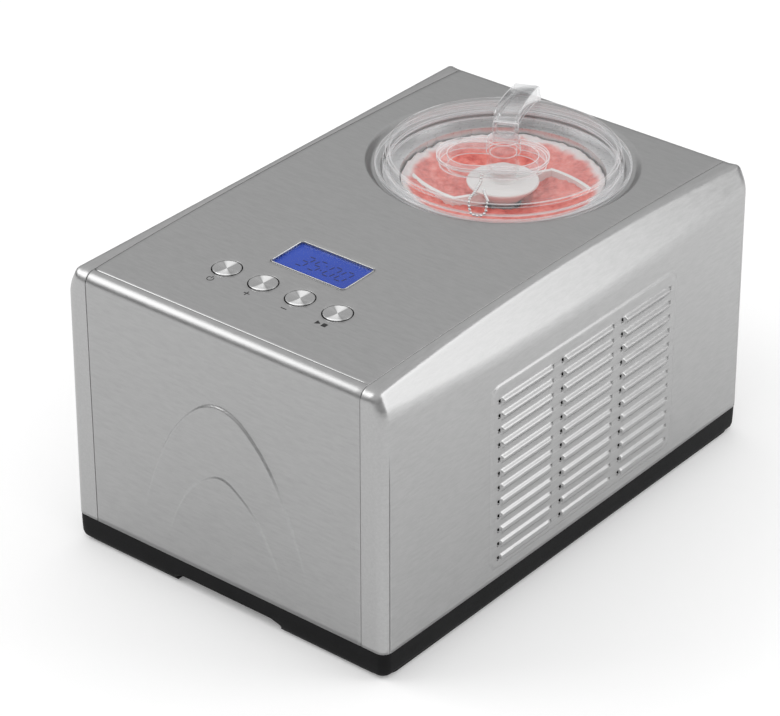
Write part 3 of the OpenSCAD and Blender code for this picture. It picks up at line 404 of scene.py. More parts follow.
V_Y0, V_Y1, V_Z0, V_Z1 = -97.0, 118.5, 30.0, 176.5
COLS = ((-88.5, -29.0), (-18.0, 41.0), (52.0, 110.0))
ROWS = [37.8 + i * 11.4 for i in range(12)]
def vent_relief(y, z):
    """(outward relief, mask of the end pits painted near-black as shade) of the louvred field."""
    cx, cy, hx, hy, r = (V_Y0 + V_Y1) / 2, (V_Z0 + V_Z1) / 2, (V_Y1 - V_Y0) / 2, (V_Z1 - V_Z0) / 2, 8.0
    qx, qy = np.abs(y - cx) - (hx - r), np.abs(z - cy) - (hy - r)
    d = np.hypot(np.maximum(qx, 0), np.maximum(qy, 0)) + np.minimum(np.maximum(qx, qy), 0) - r
    h = 1.0 * ss((-d + 0.2) / 1.7)
    pit_shade_mask = np.zeros(h.shape)
    for a, b in COLS:
        for zc in ROWS:
            u = z - zc
            L = (b - a) / 2; m = (a + b) / 2
            e = np.abs(y - m) - L
            inside = 1 - ss((e + 2.6) / 2.6)
            # raised louvre: steep bright upper side, long slope back into the sheet below it
            up = ss((3.6 - u) / 3.2)
            down = ss((u + 4.4) / 5.4)
            h = h + 2.5 * up * down * inside
            pit = ss((e + 1.5) / 1.0) * (1 - ss((e - 0.4) / 1.0)) * ss((u + 1.6) / 0.8) * (1 - ss((u - 1.5) / 0.8))
            h = h - 2.2 * pit
            # the pit mask also marks where the near-black painted shade goes
            pit_shade_mask = np.maximum(pit_shade_mask, pit)
    return h, pit_shade_mask

def side_panel(name, s, slot_replaced):
    B = Build()
    yl = [-185, -175, -160, -145, -130, -117, -108, -101]
    yl += list(np.arange(-98.2, -94.0, 0.8)) + [-92.5]
    for a, b in COLS:
        yl += [a - 1.6, a - 1.0, a - 0.5, a, a + 0.5, a + 1.0, a + 1.6, a + 2.4, a + 3.4] + list(np.linspace(a + 7, b - 7, 12)) + [b - 3.4, b - 2.4, b - 1.6, b - 1.0, b - 0.5, b, b + 0.5, b + 1.0, b + 1.6]
    yl += list(np.arange(115.6, 120.2, 0.8)) + [122, 128, 138, 150, 162, 174, 185]
    yl = np.unique(np.round(yl, 3))
    zl = [21.5, 24.5, 27.5] + list(np.arange(29.2, 33.1, 0.7))
    for zc in ROWS:
        zl += [zc + q for q in (-4.4, -3.6, -2.8, -2.1, -1.5, -1.0, -0.4, 0.2, 0.8, 1.3, 1.8, 2.3, 2.8, 3.2, 3.6, 5.2)]
    zl += list(np.arange(173.2, 178.1, 0.8)) + list(np.arange(180, 200.1, 1.25))
    zl = np.unique(np.round(zl, 3)); zl = zl[zl <= 200.0]
    Yg, Zg = np.meshgrid(yl, zl, indexing="ij")
    c = np.stack([np.full(Yg.shape, SX), Yg, Zg], -1)
    P = cast(c, np.broadcast_to(np.array([1.0, 0, 0]), c.shape))
    h, pit_shade_mask = vent_relief(Yg, Zg)
    P[..., 0] += h
    P[..., 0] = np.minimum(P[..., 0], 144.6)
    # faces mostly inside a pit take the near-black painted-shade material (slot 1)
    pit_shade_share = (pit_shade_mask[:-1, :-1] + pit_shade_mask[1:, :-1] + pit_shade_mask[:-1, 1:] + pit_shade_mask[1:, 1:]) / 4
    P[..., 0] *= s
    B.grid(P, fmat=(pit_shade_share > 0.45).astype(int))
    # edge strip: from the seam round to the flat field
    phi = sorted(set(list(np.linspace(0, 90, 37)) + [44.9, 45.5, 46.0, 46.5, 47.1]))
    core, nrm = [], []
    for z in zl: core.append((-185.0, z)); nrm.append((-1.0, 0.0))
    for a in np.linspace(0, 90, 19)[1:-1]:
        core.append((-185.0, 200.0)); nrm.append((-math.cos(math.radians(a)), math.sin(math.radians(a))))
    for y in yl: core.append((y, 200.0)); nrm.append((0.0, 1.0))
    for a in np.linspace(0, 90, 19)[1:-1]:
        core.append((185.0, 200.0)); nrm.append((math.sin(math.radians(a)), math.cos(math.radians(a))))
    for z in zl[::-1]: core.append((185.0, z)); nrm.append((1.0, 0.0))
    core, nrm = np.array(core), np.array(nrm)
    ph = np.radians(phi)
    c = np.zeros((len(core), len(ph), 3)); d = np.zeros_like(c)
    c[..., 0] = SX; c[..., 1] = core[:, None, 0]; c[..., 2] = core[:, None, 1]
    d[..., 0] = np.sin(ph)[None, :]; d[..., 1] = nrm[:, None, 0] * np.cos(ph)[None, :]; d[..., 2] = nrm[:, None, 1] * np.cos(ph)[None, :]
    P = cast(c, d)
    for i in range(len(core)):                      # folded joint down the front and rear corners
        if core[i, 1] < 199.9 and abs(core[i, 0]) > 184.9:
            g = float(ss((196 - core[i, 1]) / 50.0)) * 0.75
            for j, p in enumerate(phi):
                if abs(p - 46.0) < 0.6:
                    P[i, j] -= d[i, j] * g * (1.0 if abs(p - 46) < 0.1 else 0.35)
    rims = []
    for dx, dep in ((0.0, 3.0), (0.0, 0.4), (0.12, 0.1)):
        Q = P[:, 0].copy()
        Q[:, 1] -= nrm[:, 0] * dep; Q[:, 2] -= nrm[:, 1] * dep
        Q[:, 0] = SX - 0.2 + dx
        rims.append(Q)
    P[:, 0, 0] += 0.25
    P = np.concatenate([np.stack(rims, 1), P], 1)
    P[..., 0] *= s
    B.grid(P)
    return B.done(name, "housing", [steel_y, painted_pit_shade], [slot_replaced], test=((s * 141, -140, 100), (s, 0, 0)), sharp=48, solid=0.9)

side_panel("steel_side_panel_right", 1, "right_side_panel")
side_panel("steel_side_panel_left", -1, "left_side_panel")

# ------------------------------------------------------------------ base tray
def base_loop(inset, n=14):
    """Outline of the case's foot, bowed along the sides, clockwise from the front left corner."""
    R = 7.5 - inset * 0.5
    hx = lambda y: 142.3 - 0.9 * (y / 210.0) ** 2 - inset
    hy = 209.9 - inset
    pts = []
    xf = sorted(set([-47.6, 47.6] + list(np.linspace(-130, 130, 27)))) 
    pts += [(x, -hy) for x in xf]
    cx, cy = hx(200) - R, hy - R
    pts += [(cx + R * math.sin(a), -cy - R * math.cos(a)) for a in np.linspace(0, math.pi / 2, n)]
    ysd = np.linspace(-190, 190, 39)
    pts += [(hx(y), y) for y in ysd]
    pts += [(cx + R * math.cos(a), cy + R * math.sin(a)) for a in np.linspace(0, math.pi / 2, n)]
    pts += [(x, hy) for x in np.linspace(130, -130, 14)]
    pts += [(-cx - R * math.sin(a), cy + R * math.cos(a)) for a in np.linspace(0, math.pi / 2, n)]
    pts += [(-hx(y), y) for y in ysd[::-1]]
    pts += [(-cx - R * math.cos(a), -cy - R * math.sin(a)) for a in np.linspace(0, math.pi / 2, n)]
    return pts
B = Build()
levels = [(3.0, 18.0), (3.0, 21.3), (0.5, 21.3), (0.25, 21.0), (0.35, 12.0), (0.6, 6.0), (1.3, 3.6), (2.6, 2.1), (4.4, 1.6)]
rows = []
loops_ = [base_loop(i) for i, _ in levels]
for k in range(len(loops_[0])):
    row = []
    for j, (ins, z) in enumerate(levels):
        x, y = loops_[j][k]
        if y < -180 and z < 12:
            g = float(ss((48.6 - abs(x)) / 2.4))
            z = z + g * max(0.0, 8.2 - z) * (1.0 if z < 9 else 0.0)
        row.append((x, y, z))
    rows.append(row)
B.grid(rows, wu=True)
under = base_loop(4.4)
zu = lambda x, y: 8.2 if (abs(x) < 47.6 and y < -184.9) else 1.6
# underside: flat, with the toe recess at the front
x_c = [-142, -47.6, -47.59, 47.59, 47.6, 142]
o = len(B.v)
B.v += [[x, y, 1.6 + float(ss((48.6 - abs(x)) / 2.4)) * 6.6 * (1 if y < -180 else 0)] for x, y in under]
inner = [(x * 0.9, max(y, -185.0) * (0.95 if y > -180 else 1.0)) for x, y in under]
B.v += [[x, y, 1.6 + (float(ss((48.6 - abs(x)) / 2.4)) * 6.6 if y < -180 else 0)] for x, y in inner]
n_ = len(under)
for i in range(n_):
    j = (i + 1) % n_
    B.f.append((o + i, o + j, o + n_ + j, o + n_ + i)); B.m.append(0)
o2 = len(B.v)
B.v += [[x, y + 0.3, 1.6] for x, y in inner]
for i in range(n_):
    j = (i + 1) % n_
    B.f.append((o + n_ + i, o + n_ + j, o2 + j, o2 + i)); B.m.append(0)
B.f.append(tuple(o2 + i for i in range(n_))[::-1]); B.m.append(0)
B.done("base_tray_skirt", "housing", [black_base], test=((142, 0, 12), (1, 0, 0)), sharp=35)

# ------------------------------------------------------------------ buttons
# spun metal with radial anisotropy and ring grooves, plus a painted bow-tie highlight in the base colour
spun, nt, b, _ = ntree("spun_button_metal_painted_highlight")
tc = nt.nodes.new("ShaderNodeTexCoord")
b.inputs["Metallic"].default_value = 1.0
b.inputs["Anisotropic"].default_value = 0.9
tg = node(nt, "ShaderNodeTangent", direction_type="RADIAL", axis="Z")
nt.links.new(tg.outputs[0], b.inputs["Tangent"])
sep = nt.nodes.new("ShaderNodeSeparateXYZ")
nt.links.new(tc.outputs["Generated"], sep.inputs[0])
vx = node(nt, "ShaderNodeMath", operation="SUBTRACT"); vx.inputs[1].default_value = 0.5
vy = node(nt, "ShaderNodeMath", operation="SUBTRACT"); vy.inputs[1].default_value = 0.5
nt.links.new(sep.outputs[0], vx.inputs[0]); nt.links.new(sep.outputs[1], vy.inputs[0])
cmb = nt.nodes.new("ShaderNodeCombineXYZ")
nt.links.new(vx.outputs[0], cmb.inputs[0]); nt.links.new(vy.outputs[0], cmb.inputs[1])
ln = node(nt, "ShaderNodeVectorMath", operation="LENGTH"); nt.links.new(cmb.outputs[0], ln.inputs[0])
rings = node(nt, "ShaderNodeTexNoise", Scale=160.0, Detail=2.0, noise_dimensions="1D")
nt.links.new(ln.outputs["Value"], rings.inputs["W"])
# painted highlight: the base colour is brightened in two opposite wedges round each button (cosine of twice the angle,
# turned 113 degrees), a fixed bow-tie in place of the lights' reflection on spun metal
ang = node(nt, "ShaderNodeMath", operation="ARCTAN2")
nt.links.new(vy.outputs[0], ang.inputs[0]); nt.links.new(vx.outputs[0], ang.inputs[1])
dbl = node(nt, "ShaderNodeMath", operation="MULTIPLY_ADD"); dbl.inputs[1].default_value = 2.0; dbl.inputs[2].default_value = -2 * math.radians(113)
nt.links.new(ang.outputs[0], dbl.inputs[0])
cs = node(nt, "ShaderNodeMath", operation="COSINE"); nt.links.new(dbl.outputs[0], cs.inputs[0])
painted_bowtie_highlight = ramp(nt, cs.outputs[0], [(0.0, (0.44,) * 3), (0.35, (0.40,) * 3), (0.62, (0.8,) * 3), (0.9, (1.0,) * 3)])
tone_ = ramp(nt, rings.outputs[0], [(0.3, (0.93,) * 3), (0.7, (1.0,) * 3)])
mulc = node(nt, "ShaderNodeMix", data_type="RGBA", blend_type="MULTIPLY"); mulc.inputs[0].default_value = 1.0
nt.links.new(painted_bowtie_highlight.outputs[0], mulc.inputs[6]); nt.links.new(tone_.outputs[0], mulc.inputs[7])
nt.links.new(mulc.outputs[2], b.inputs["Base Color"])
nt.links.new(remap(nt, rings.outputs[0], 0.3, 0.7, 0.24, 0.34).outputs[0], b.inputs["Roughness"])
bump(nt, b, rings.outputs[0], 0.1, 0.0001)

for k, nm in ((-1.5, "power"), (-0.5, "plus"), (0.5, "minus"), (1.5, "start")):
    zb = float(zt(BTN_Y))
    B = Build()
    prof = [(0, zb - 0.05), (3, zb), (6, zb + 0.15), (8.4, zb + 0.38), (9.2, zb + 0.46), (9.8, zb + 0.42), (10.15, zb + 0.12), (10.2, zb - 0.4),
            (10.2, zb - 6), (8.8, zb - 6), (8.8, zb - 2.0), (2, zb - 2.2), (2, zb - 7.4), (0, zb - 7.4)]
    add_lathe(B, prof, 96, k * 32.6, BTN_Y, closed=False)
    B.done("button_cap_" + nm, nm + "_button", [spun], ["button_" + nm], sharp=50)

# symbols under the buttons, printed in black
ink = plastic("printed_ink", (0.008, 0.008, 0.009), (0.5, 0.7), 1200, 0.05, 0.1)
def flat(B, pts2, y_up=0.05, th=0.05):
    n = len(pts2)
    lo = [(x, y, float(zt(y)) + 0.01) for x, y in pts2]; hi = [(x, y, float(zt(y)) + y_up + th) for x, y in pts2]
    o = len(B.v)
    B.v += [list(p) for p in lo + hi]
    B.f.append(tuple(o + i for i in range(n))[::-1]); B.f.append(tuple(o + n + i for i in range(n)))
    for i in range(n):
        j = (i + 1) % n
        B.f.append((o + i, o + j, o + n + j, o + n + i))
    B.m += [0] * (n + 2)
S = Build()
SY = BTN_Y - 17.0
def ring_sym(cx, cy, ro, ri, a0, a1, n=28):
    for i in range(n):
        t0, t1 = math.radians(a0 + (a1 - a0) * i / n), math.radians(a0 + (a1 - a0) * (i + 1) / n)
        flat(S, [(cx + ri * math.cos(t0), cy + ri * math.sin(t0)), (cx + ro * math.cos(t0), cy + ro * math.sin(t0)), (cx + ro * math.cos(t1), cy + ro * math.sin(t1)), (cx + ri * math.cos(t1), cy + ri * math.sin(t1))])
bx = [k * 32.6 for k in (-1.5, -0.5, 0.5, 1.5)]
ring_sym(bx[0], SY, 2.7, 2.15, 125, 415)
flat(S, [(bx[0] - .3, SY + .5), (bx[0] + .3, SY + .5), (bx[0] + .3, SY + 3.3), (bx[0] - .3, SY + 3.3)])
flat(S, [(bx[1] - 2.4, SY - .32), (bx[1] + 2.4, SY - .32), (bx[1] + 2.4, SY + .32), (bx[1] - 2.4, SY + .32)])
flat(S, [(bx[1] - .32, SY - 2.4), (bx[1] + .32, SY - 2.4), (bx[1] + .32, SY - .4), (bx[1] - .32, SY - .4)])
flat(S, [(bx[1] - .32, SY + .4), (bx[1] + .32, SY + .4), (bx[1] + .32, SY + 2.4), (bx[1] - .32, SY + 2.4)])
flat(S, [(bx[2] - 2.4, SY - .32), (bx[2] + 2.4, SY - .32), (bx[2] + 2.4, SY + .32), (bx[2] - 2.4, SY + .32)])
flat(S, [(bx[3] - 4.4, SY - 2.2), (bx[3] - .6, SY), (bx[3] - 4.4, SY + 2.2)])
flat(S, [(bx[3] + 1.0, SY - 1.9), (bx[3] + 4.6, SY - 1.9), (bx[3] + 4.6, SY + 1.9), (bx[3] + 1.0, SY + 1.9)])
S.done("button_symbols", "housing", [ink], sharp=30, weld=0.0005)

# ------------------------------------------------------------------ display
lz = float(zt(LCD_Y))
tilt = -4.6 * 2 * LCD_Y / 200 ** 2
def sweep_loop(B, loop_fn, prof, mat=0):
    """prof: list of (inset, z) round a rounded rectangle"""
    cols = [loop_fn(i) for i, _ in prof]
    n = len(cols[0])
    B.grid([[(cols[j][i][0], cols[j][i][1], z + (cols[j][i][1] - LCD_Y) * tilt) for j, (_, z) in enumerate(prof)] for i in range(n)], mat, wu=True, wv=True)
def lcd_rr(i):
    return rounded_rect(-33 + i, LCD_Y - 17.5 + i, 33 - i, LCD_Y + 17.5 - i, max(3.0 - i, 0.8), 8)
bezel_m = brushed("bezel_satin", base=0.42, grain=(0, 0, 0), rough=(0.12, 0.2), depth=0.02, tone=0.03)
B = Build()
sweep_loop(B, lcd_rr, [(0.0, lz - 2), (0.0, lz + 0.1), (0.2, lz + 0.3), (0.55, lz + 0.3), (0.8, lz + 0.1), (0.95, lz - 0.8), (0.95, lz - 2)])
B.done("display_frame", "housing", [bezel_m], ["display_bezel"], sharp=60)
B = Build()
scr = [(x, y, lz - 2.0 + (y - LCD_Y) * tilt) for x, y in lcd_rr(0.7)]
sc2 = [(x, y, z - 4) for x, y, z in scr]
o = len(scr)
B.v = [list(p) for p in scr + sc2]
B.f = [tuple(range(o)), tuple(range(o, 2 * o))[::-1]] + [(i, (i + 1) % o, o + (i + 1) % o, o + i) for i in range(o)]
B.m = [0] * len(B.f)
lcd_m, nt, b, _ = ntree("lcd_panel_blue")
n = obj_noise(nt, 22, detail=2.0)
r = ramp(nt, n.outputs[0], [(0.3, (0.006, 0.032, 0.25)), (0.7, (0.010, 0.048, 0.32))])
nt.links.new(r.outputs[0], b.inputs["Base Color"]); nt.links.new(r.outputs[0], b.inputs["Emission Color"])
b.inputs["Emission Strength"].default_value = 0.4
b.inputs["Roughness"].default_value = 0.3
B.done("lcd_panel", "housing", [lcd_m], ["lcd_module"], sharp=30)
seg = plastic("lcd_segments", (0.004, 0.01, 0.10), (0.3, 0.4), 500, 0.02, 0.1)
SEGS = {"0": "abcdef", "1": "bc", "2": "abged", "3": "abgcd", "4": "fgbc", "5": "afgcd", "6": "afgedc", "7": "abc", "8": "abcdefg", "9": "abcdfg"}
D = Build()
def quad(pts):
    o = len(D.v)
    z = lambda y: lz - 1.97 + (y - LCD_Y) * tilt
    D.v += [[x, y, z(y)] for x, y in pts] + [[x, y, z(y) - 0.03] for x, y in pts]
    k = len(pts)
    D.f += [tuple(o + i for i in range(k)), tuple(o + k + i for i in range(k))[::-1]] + [(o + i, o + (i + 1) % k, o + k + (i + 1) % k, o + k + i) for i in range(k)]
    D.m += [0] * (k + 2)
def digit(ch, x, y, w, h, t):
    sl = 0.16
    P = {"a": ((0, h), (w, h)), "g": ((0, h / 2), (w, h / 2)), "d": ((0, 0), (w, 0)), "f": ((0, h / 2), (0, h)), "b": ((w, h / 2), (w, h)), "e": ((0, 0), (0, h / 2)), "c": ((w, 0), (w, h / 2))}
    for s_ in SEGS[ch]:
        (x0, y0), (x1, y1) = P[s_]
        g = t * 0.75
        if y0 == y1:
            q = [(x0 + g, y0), (x0 + g + t / 2, y0 + t / 2), (x1 - g - t / 2, y0 + t / 2), (x1 - g, y0), (x1 - g - t / 2, y0 - t / 2), (x0 + g + t / 2, y0 - t / 2)]
        else:
            q = [(x0, y0 + g), (x0 + t / 2, y0 + g + t / 2), (x0 + t / 2, y1 - g - t / 2), (x0, y1 - g), (x0 - t / 2, y1 - g - t / 2), (x0 - t / 2, y0 + g + t / 2)]
        quad([(x + a + sl * b_, y + b_) for a, b_ in q])
for i, ch in enumerate("3500"):
    digit(ch, -19 + i * 10.6 + (2.4 if i > 1 else 0), LCD_Y - 7.5, 6.6, 13.5, 1.15)
for yy in (-4, 2.5):
    quad([(1.6 + a * 0.6, LCD_Y + yy + b_ * 0.6) for a, b_ in ((-1, -1), (1, -1), (1, 1), (-1, 1))])
D.done("lcd_digits", "housing", [seg], sharp=30, weld=0.0005)

# ------------------------------------------------------------------ ice cream in the bowl
ice, nt, b, _ = ntree("ice_cream_pink")
n1 = obj_noise(nt, 140, detail=6.0, rough=0.65)
n2 = obj_noise(nt, 900, detail=3.0)
r1 = ramp(nt, n1.outputs[0], [(0.30, (0.55, 0.10, 0.085)), (0.5, (0.80, 0.21, 0.175)), (0.72, (0.90, 0.36, 0.31))])
att = node(nt, "ShaderNodeAttribute", attribute_name="frost")
mx = node(nt, "ShaderNodeMix", data_type="RGBA")
nt.links.new(att.outputs["Fac"], mx.inputs[0]); nt.links.new(r1.outputs[0], mx.inputs[6]); mx.inputs[7].default_value = (0.82, 0.80, 0.79, 1)
nt.links.new(mx.outputs[2], b.inputs["Base Color"])
b.inputs["Roughness"].default_value = 0.55
b.inputs["Subsurface Weight"].default_value = 0.15
b.inputs["Subsurface Radius"].default_value = (0.004, 0.002, 0.0015)
bump(nt, b, n1.outputs[0], 0.5, 0.0012)

def ice_h(x, y):
    r = math.hypot(x, y); a = math.atan2(y, x)
    p = Vector((x * 0.05, y * 0.05, 0.3))
    h = 196.5 + 1.8 * noise.noise(p * 1.3) + 1.4 * noise.noise(p * 3.1)
    h += 1.4 * abs(noise.noise(Vector((r * 0.16, a * 2.2, 4.1))))
    h += 0.9 * noise.noise(Vector((x * 0.3, y * 0.3, 7.7))) + 0.45 * noise.noise(Vector((x * 0.8, y * 0.8, 1.7)))
    h += 6.0 * float(ss((r - 24) / 36.0)) + 5.5 * float(ss((r - 56) / 17.0))
    h -= 6.0 * (1 - float(ss((r - 12) / 12.0)))
    return h
B = Build()
P, fr = [], []
rads = [13.6, 14.5] + list(np.linspace(16, 70, 46)) + [71, 72, 73, 73.8]
for i in range(240):
    a = 2 * math.pi * i / 240
    row = [(AX + r * math.cos(a), AY + r * math.sin(a), ice_h(r * math.cos(a), r * math.sin(a))) for r in rads]
    row += [(AX + 73.9 * math.cos(a), AY + 73.9 * math.sin(a), 190.0), (AX + 13.6 * math.cos(a), AY + 13.6 * math.sin(a), 190.0)]
    P.append(row)
B.grid(P, wu=True, wv=True)
icob = B.done("ice_cream_batch", "paddle_body", [ice], sharp=80)
at = icob.data.attributes.new("frost", "FLOAT", "POINT")
vals = []
for v in icob.data.vertices:
    x, y = v.co.x / MM - AX, v.co.y / MM - AY
    r = math.hypot(x, y)
    e = 68.5 + 3.2 * noise.noise(Vector((math.atan2(y, x) * 5, 0, 2))) + 1.5 * noise.noise(Vector((x * .25, y * .25, 9)))
    vals.append(float(ss((r - e + 3.2) / 5.5)) * 0.93)
at.data.foreach_set("value", vals)

# ------------------------------------------------------------------ lid handle: an arched channel with rounded edges
LT, OH = 234.0, 260.0
HA = math.radians(115)
def h_top(s):
    if s < 12: return OH - 9 * (1 - math.sin(math.radians(90 * (s - 5) / 7)))
    if s < 78: return OH - 12 * ((s - 12) / 66) ** 1.5
    return OH - 12 - 14 * (1 - math.cos(math.radians(90 * (s - 78) / 8)))
def h_low(s):
    return OH - 10 - 15 * (max(s - 9, 0) / 73) ** 1.6
def at_h(s, u, z):
    return (AX + s * math.cos(HA) - u * math.sin(HA), AY + s * math.sin(HA) + u * math.cos(HA), z)
B = Build()
rows = []
for s in [5.3, 5.8, 6.5, 7.3, 8.2, 9.2, 10.5, 12] + list(np.linspace(16, 76, 26)) + [78, 79.5, 81, 82.5, 83.8, 84.8, 85.6]:
    zt_ = h_top(s)
    zb_ = min(h_low(s), zt_ - 4.4) if s < 81 else LT - 0.6
    th = min(2.6, max(0.5, (zt_ - zb_) * 0.45)); r_ = min(2.0, th)
    sec = [(-9.5, zb_), (-9.5, zt_ - r_), (-9.3, zt_ - r_ * .5), (-8.8, zt_ - r_ * .15), (-7.8, zt_), (0, zt_ + 0.0), (7.8, zt_), (8.8, zt_ - r_ * .15), (9.3, zt_ - r_ * .5), (9.5, zt_ - r_), (9.5, zb_),
           (9.2, zb_ - 0.15), (7.3, zb_ - 0.15), (7.0, zb_), (7.0, zt_ - th - 0.8), (6.2, zt_ - th), (0, zt_ - th), (-6.2, zt_ - th), (-7.0, zt_ - th - 0.8), (-7.0, zb_), (-7.3, zb_ - 0.15), (-9.2, zb_ - 0.15)]
    rows.append([at_h(s, u, z) for u, z in sec])
B.grid(rows, wv=True)
B.f.append(tuple(range(22))); B.m.append(0)
B.f.append(tuple(len(B.v) - 22 + i for i in range(22))); B.m.append(0)
def leg_loop(hw, z0, z1, r, taper=0.0, n=6):
    return [(x * (1 - taper * (z - z0) / (z1 - z0)), z) for x, z in rounded_rect(-hw, z0, hw, z1, r, n)]
outer, win = leg_loop(9.5, 236.0, 252.0, 1.4), leg_loop(6.2, 242.6, 250.2, 2.4)
prof = []
for (a_, w_) in zip(outer, win):
    lerp = lambda k: (a_[0] + (w_[0] - a_[0]) * k, a_[1] + (w_[1] - a_[1]) * k)
    o1, w1 = lerp(0.10), lerp(0.90)
    prof.append([at_h(4.9, *a_), at_h(4.5, *o1), at_h(4.5, *w1), at_h(4.9, *w_), at_h(8.4, *w_), at_h(8.8, *w1), at_h(8.8, *o1), at_h(8.4, *a_)])
B.grid(prof, wu=True, wv=True)
# edge and rim set the painted edge highlight of the handle
handle_m = clear("handle_clear_plastic", (0.92, 0.925, 0.93), 0.12, 0.14, 1.0, 1.0, edge=0.0014, rim=0.85)
B.done("lid_handle_arch", "lid_body", [handle_m], ["lid_handle"], sharp=55)

# ------------------------------------------------------------------ bead chain of the filler cap
def at_lid(r, deg, z):
    return (AX + r * math.sin(math.radians(deg)), AY - r * math.cos(math.radians(deg)), z)
way = [(18.2, 50.2, 239.2), (19.6, 47.6, 237.4), (21.2, 44.6, 235.5), (24.3, 37, 235.25), (27.6, 28.6, 235.25), at_lid(83, 21, 235.2), at_lid(86.2, 21.2, 234.4),
       at_lid(87.35, 21.4, 231.6), at_lid(87.5, 21.8, 228.2), at_lid(88.9, 23, 225.95), at_lid(90.3, 25.5, 225.9), at_lid(88.9, 28, 225.95), at_lid(87.5, 29.2, 228.2),
       at_lid(87.35, 29.5, 231.6), at_lid(86.2, 29.7, 234.4), at_lid(83, 29.6, 235.2), (35.6, 31.2, 235.25), (30, 36.6, 235.25), (26.2, 40.6, 235.3)]
way = [np.array(q, float) for q in way]
line_ = []
for i in range(len(way) - 1):
    p0, p1, p2, p3 = way[max(i - 1, 0)], way[i], way[i + 1], way[min(i + 2, len(way) - 1)]
    for k in range(12):
        u = k / 12
        line_.append(0.5 * (2 * p1 + (p2 - p0) * u + (2 * p0 - 5 * p1 + 4 * p2 - p3) * u * u + (3 * p1 - p0 - 3 * p2 + p3) * u ** 3))
line_.append(way[-1]); line_ = np.array(line_)
run = np.concatenate([[0], np.cumsum(np.linalg.norm(np.diff(line_, axis=0), axis=1))])
at_run = lambda d: np.array([np.interp(d, run, line_[:, c]) for c in range(3)])
B = Build()
n_b = int((run[-1] - 2.4) / 2.7)
prof_ = [(-1.3, 0.0), (-1.22, 0.3), (-1.0, 0.66), (-0.72, 0.92), (-0.36, 1.08), (0, 1.13), (0.36, 1.08), (0.72, 0.92), (1.0, 0.66), (1.22, 0.3), (1.3, 0.0)]
for i in range(n_b):
    d0 = 1.2 + i * 2.7
    c0, dr = at_run(d0), at_run(d0 + 0.6) - at_run(d0 - 0.6)
    dr /= np.linalg.norm(dr)
    e1 = np.cross(dr, (0, 0, 1) if abs(dr[2]) < 0.9 else (1, 0, 0)); e1 /= np.linalg.norm(e1); e2 = np.cross(dr, e1)
    B.grid([[c0 + dr * a_ * 0.86 + (e1 * math.cos(f_) + e2 * math.sin(f_)) * r_ for a_, r_ in prof_] for f_ in np.linspace(0, 2 * math.pi, 12, endpoint=False)], wu=True)
rows = []
for d0 in np.arange(1.2, 1.2 + (n_b - 1) * 2.7, 0.9):
    c0, dr = at_run(d0), at_run(d0 + 0.4) - at_run(d0 - 0.4)
    dr /= np.linalg.norm(dr)
    e1 = np.cross(dr, (0, 0, 1) if abs(dr[2]) < 0.9 else (1, 0, 0)); e1 /= np.linalg.norm(e1); e2 = np.cross(dr, e1)
    rows.append([c0 + (e1 * math.cos(f_) + e2 * math.sin(f_)) * 0.3 for f_ in np.linspace(0, 2 * math.pi, 6, endpoint=False)])
B.grid(rows, wv=True)
chain_m = brushed("chain_polished", base=0.72, grain=(0, 0, 0), rough=(0.1, 0.18), depth=0.02, tone=0.03)
B.done("bead_chain_strand", "lid_body", [chain_m], ["bead_chain"], sharp=60, weld=0.0002)

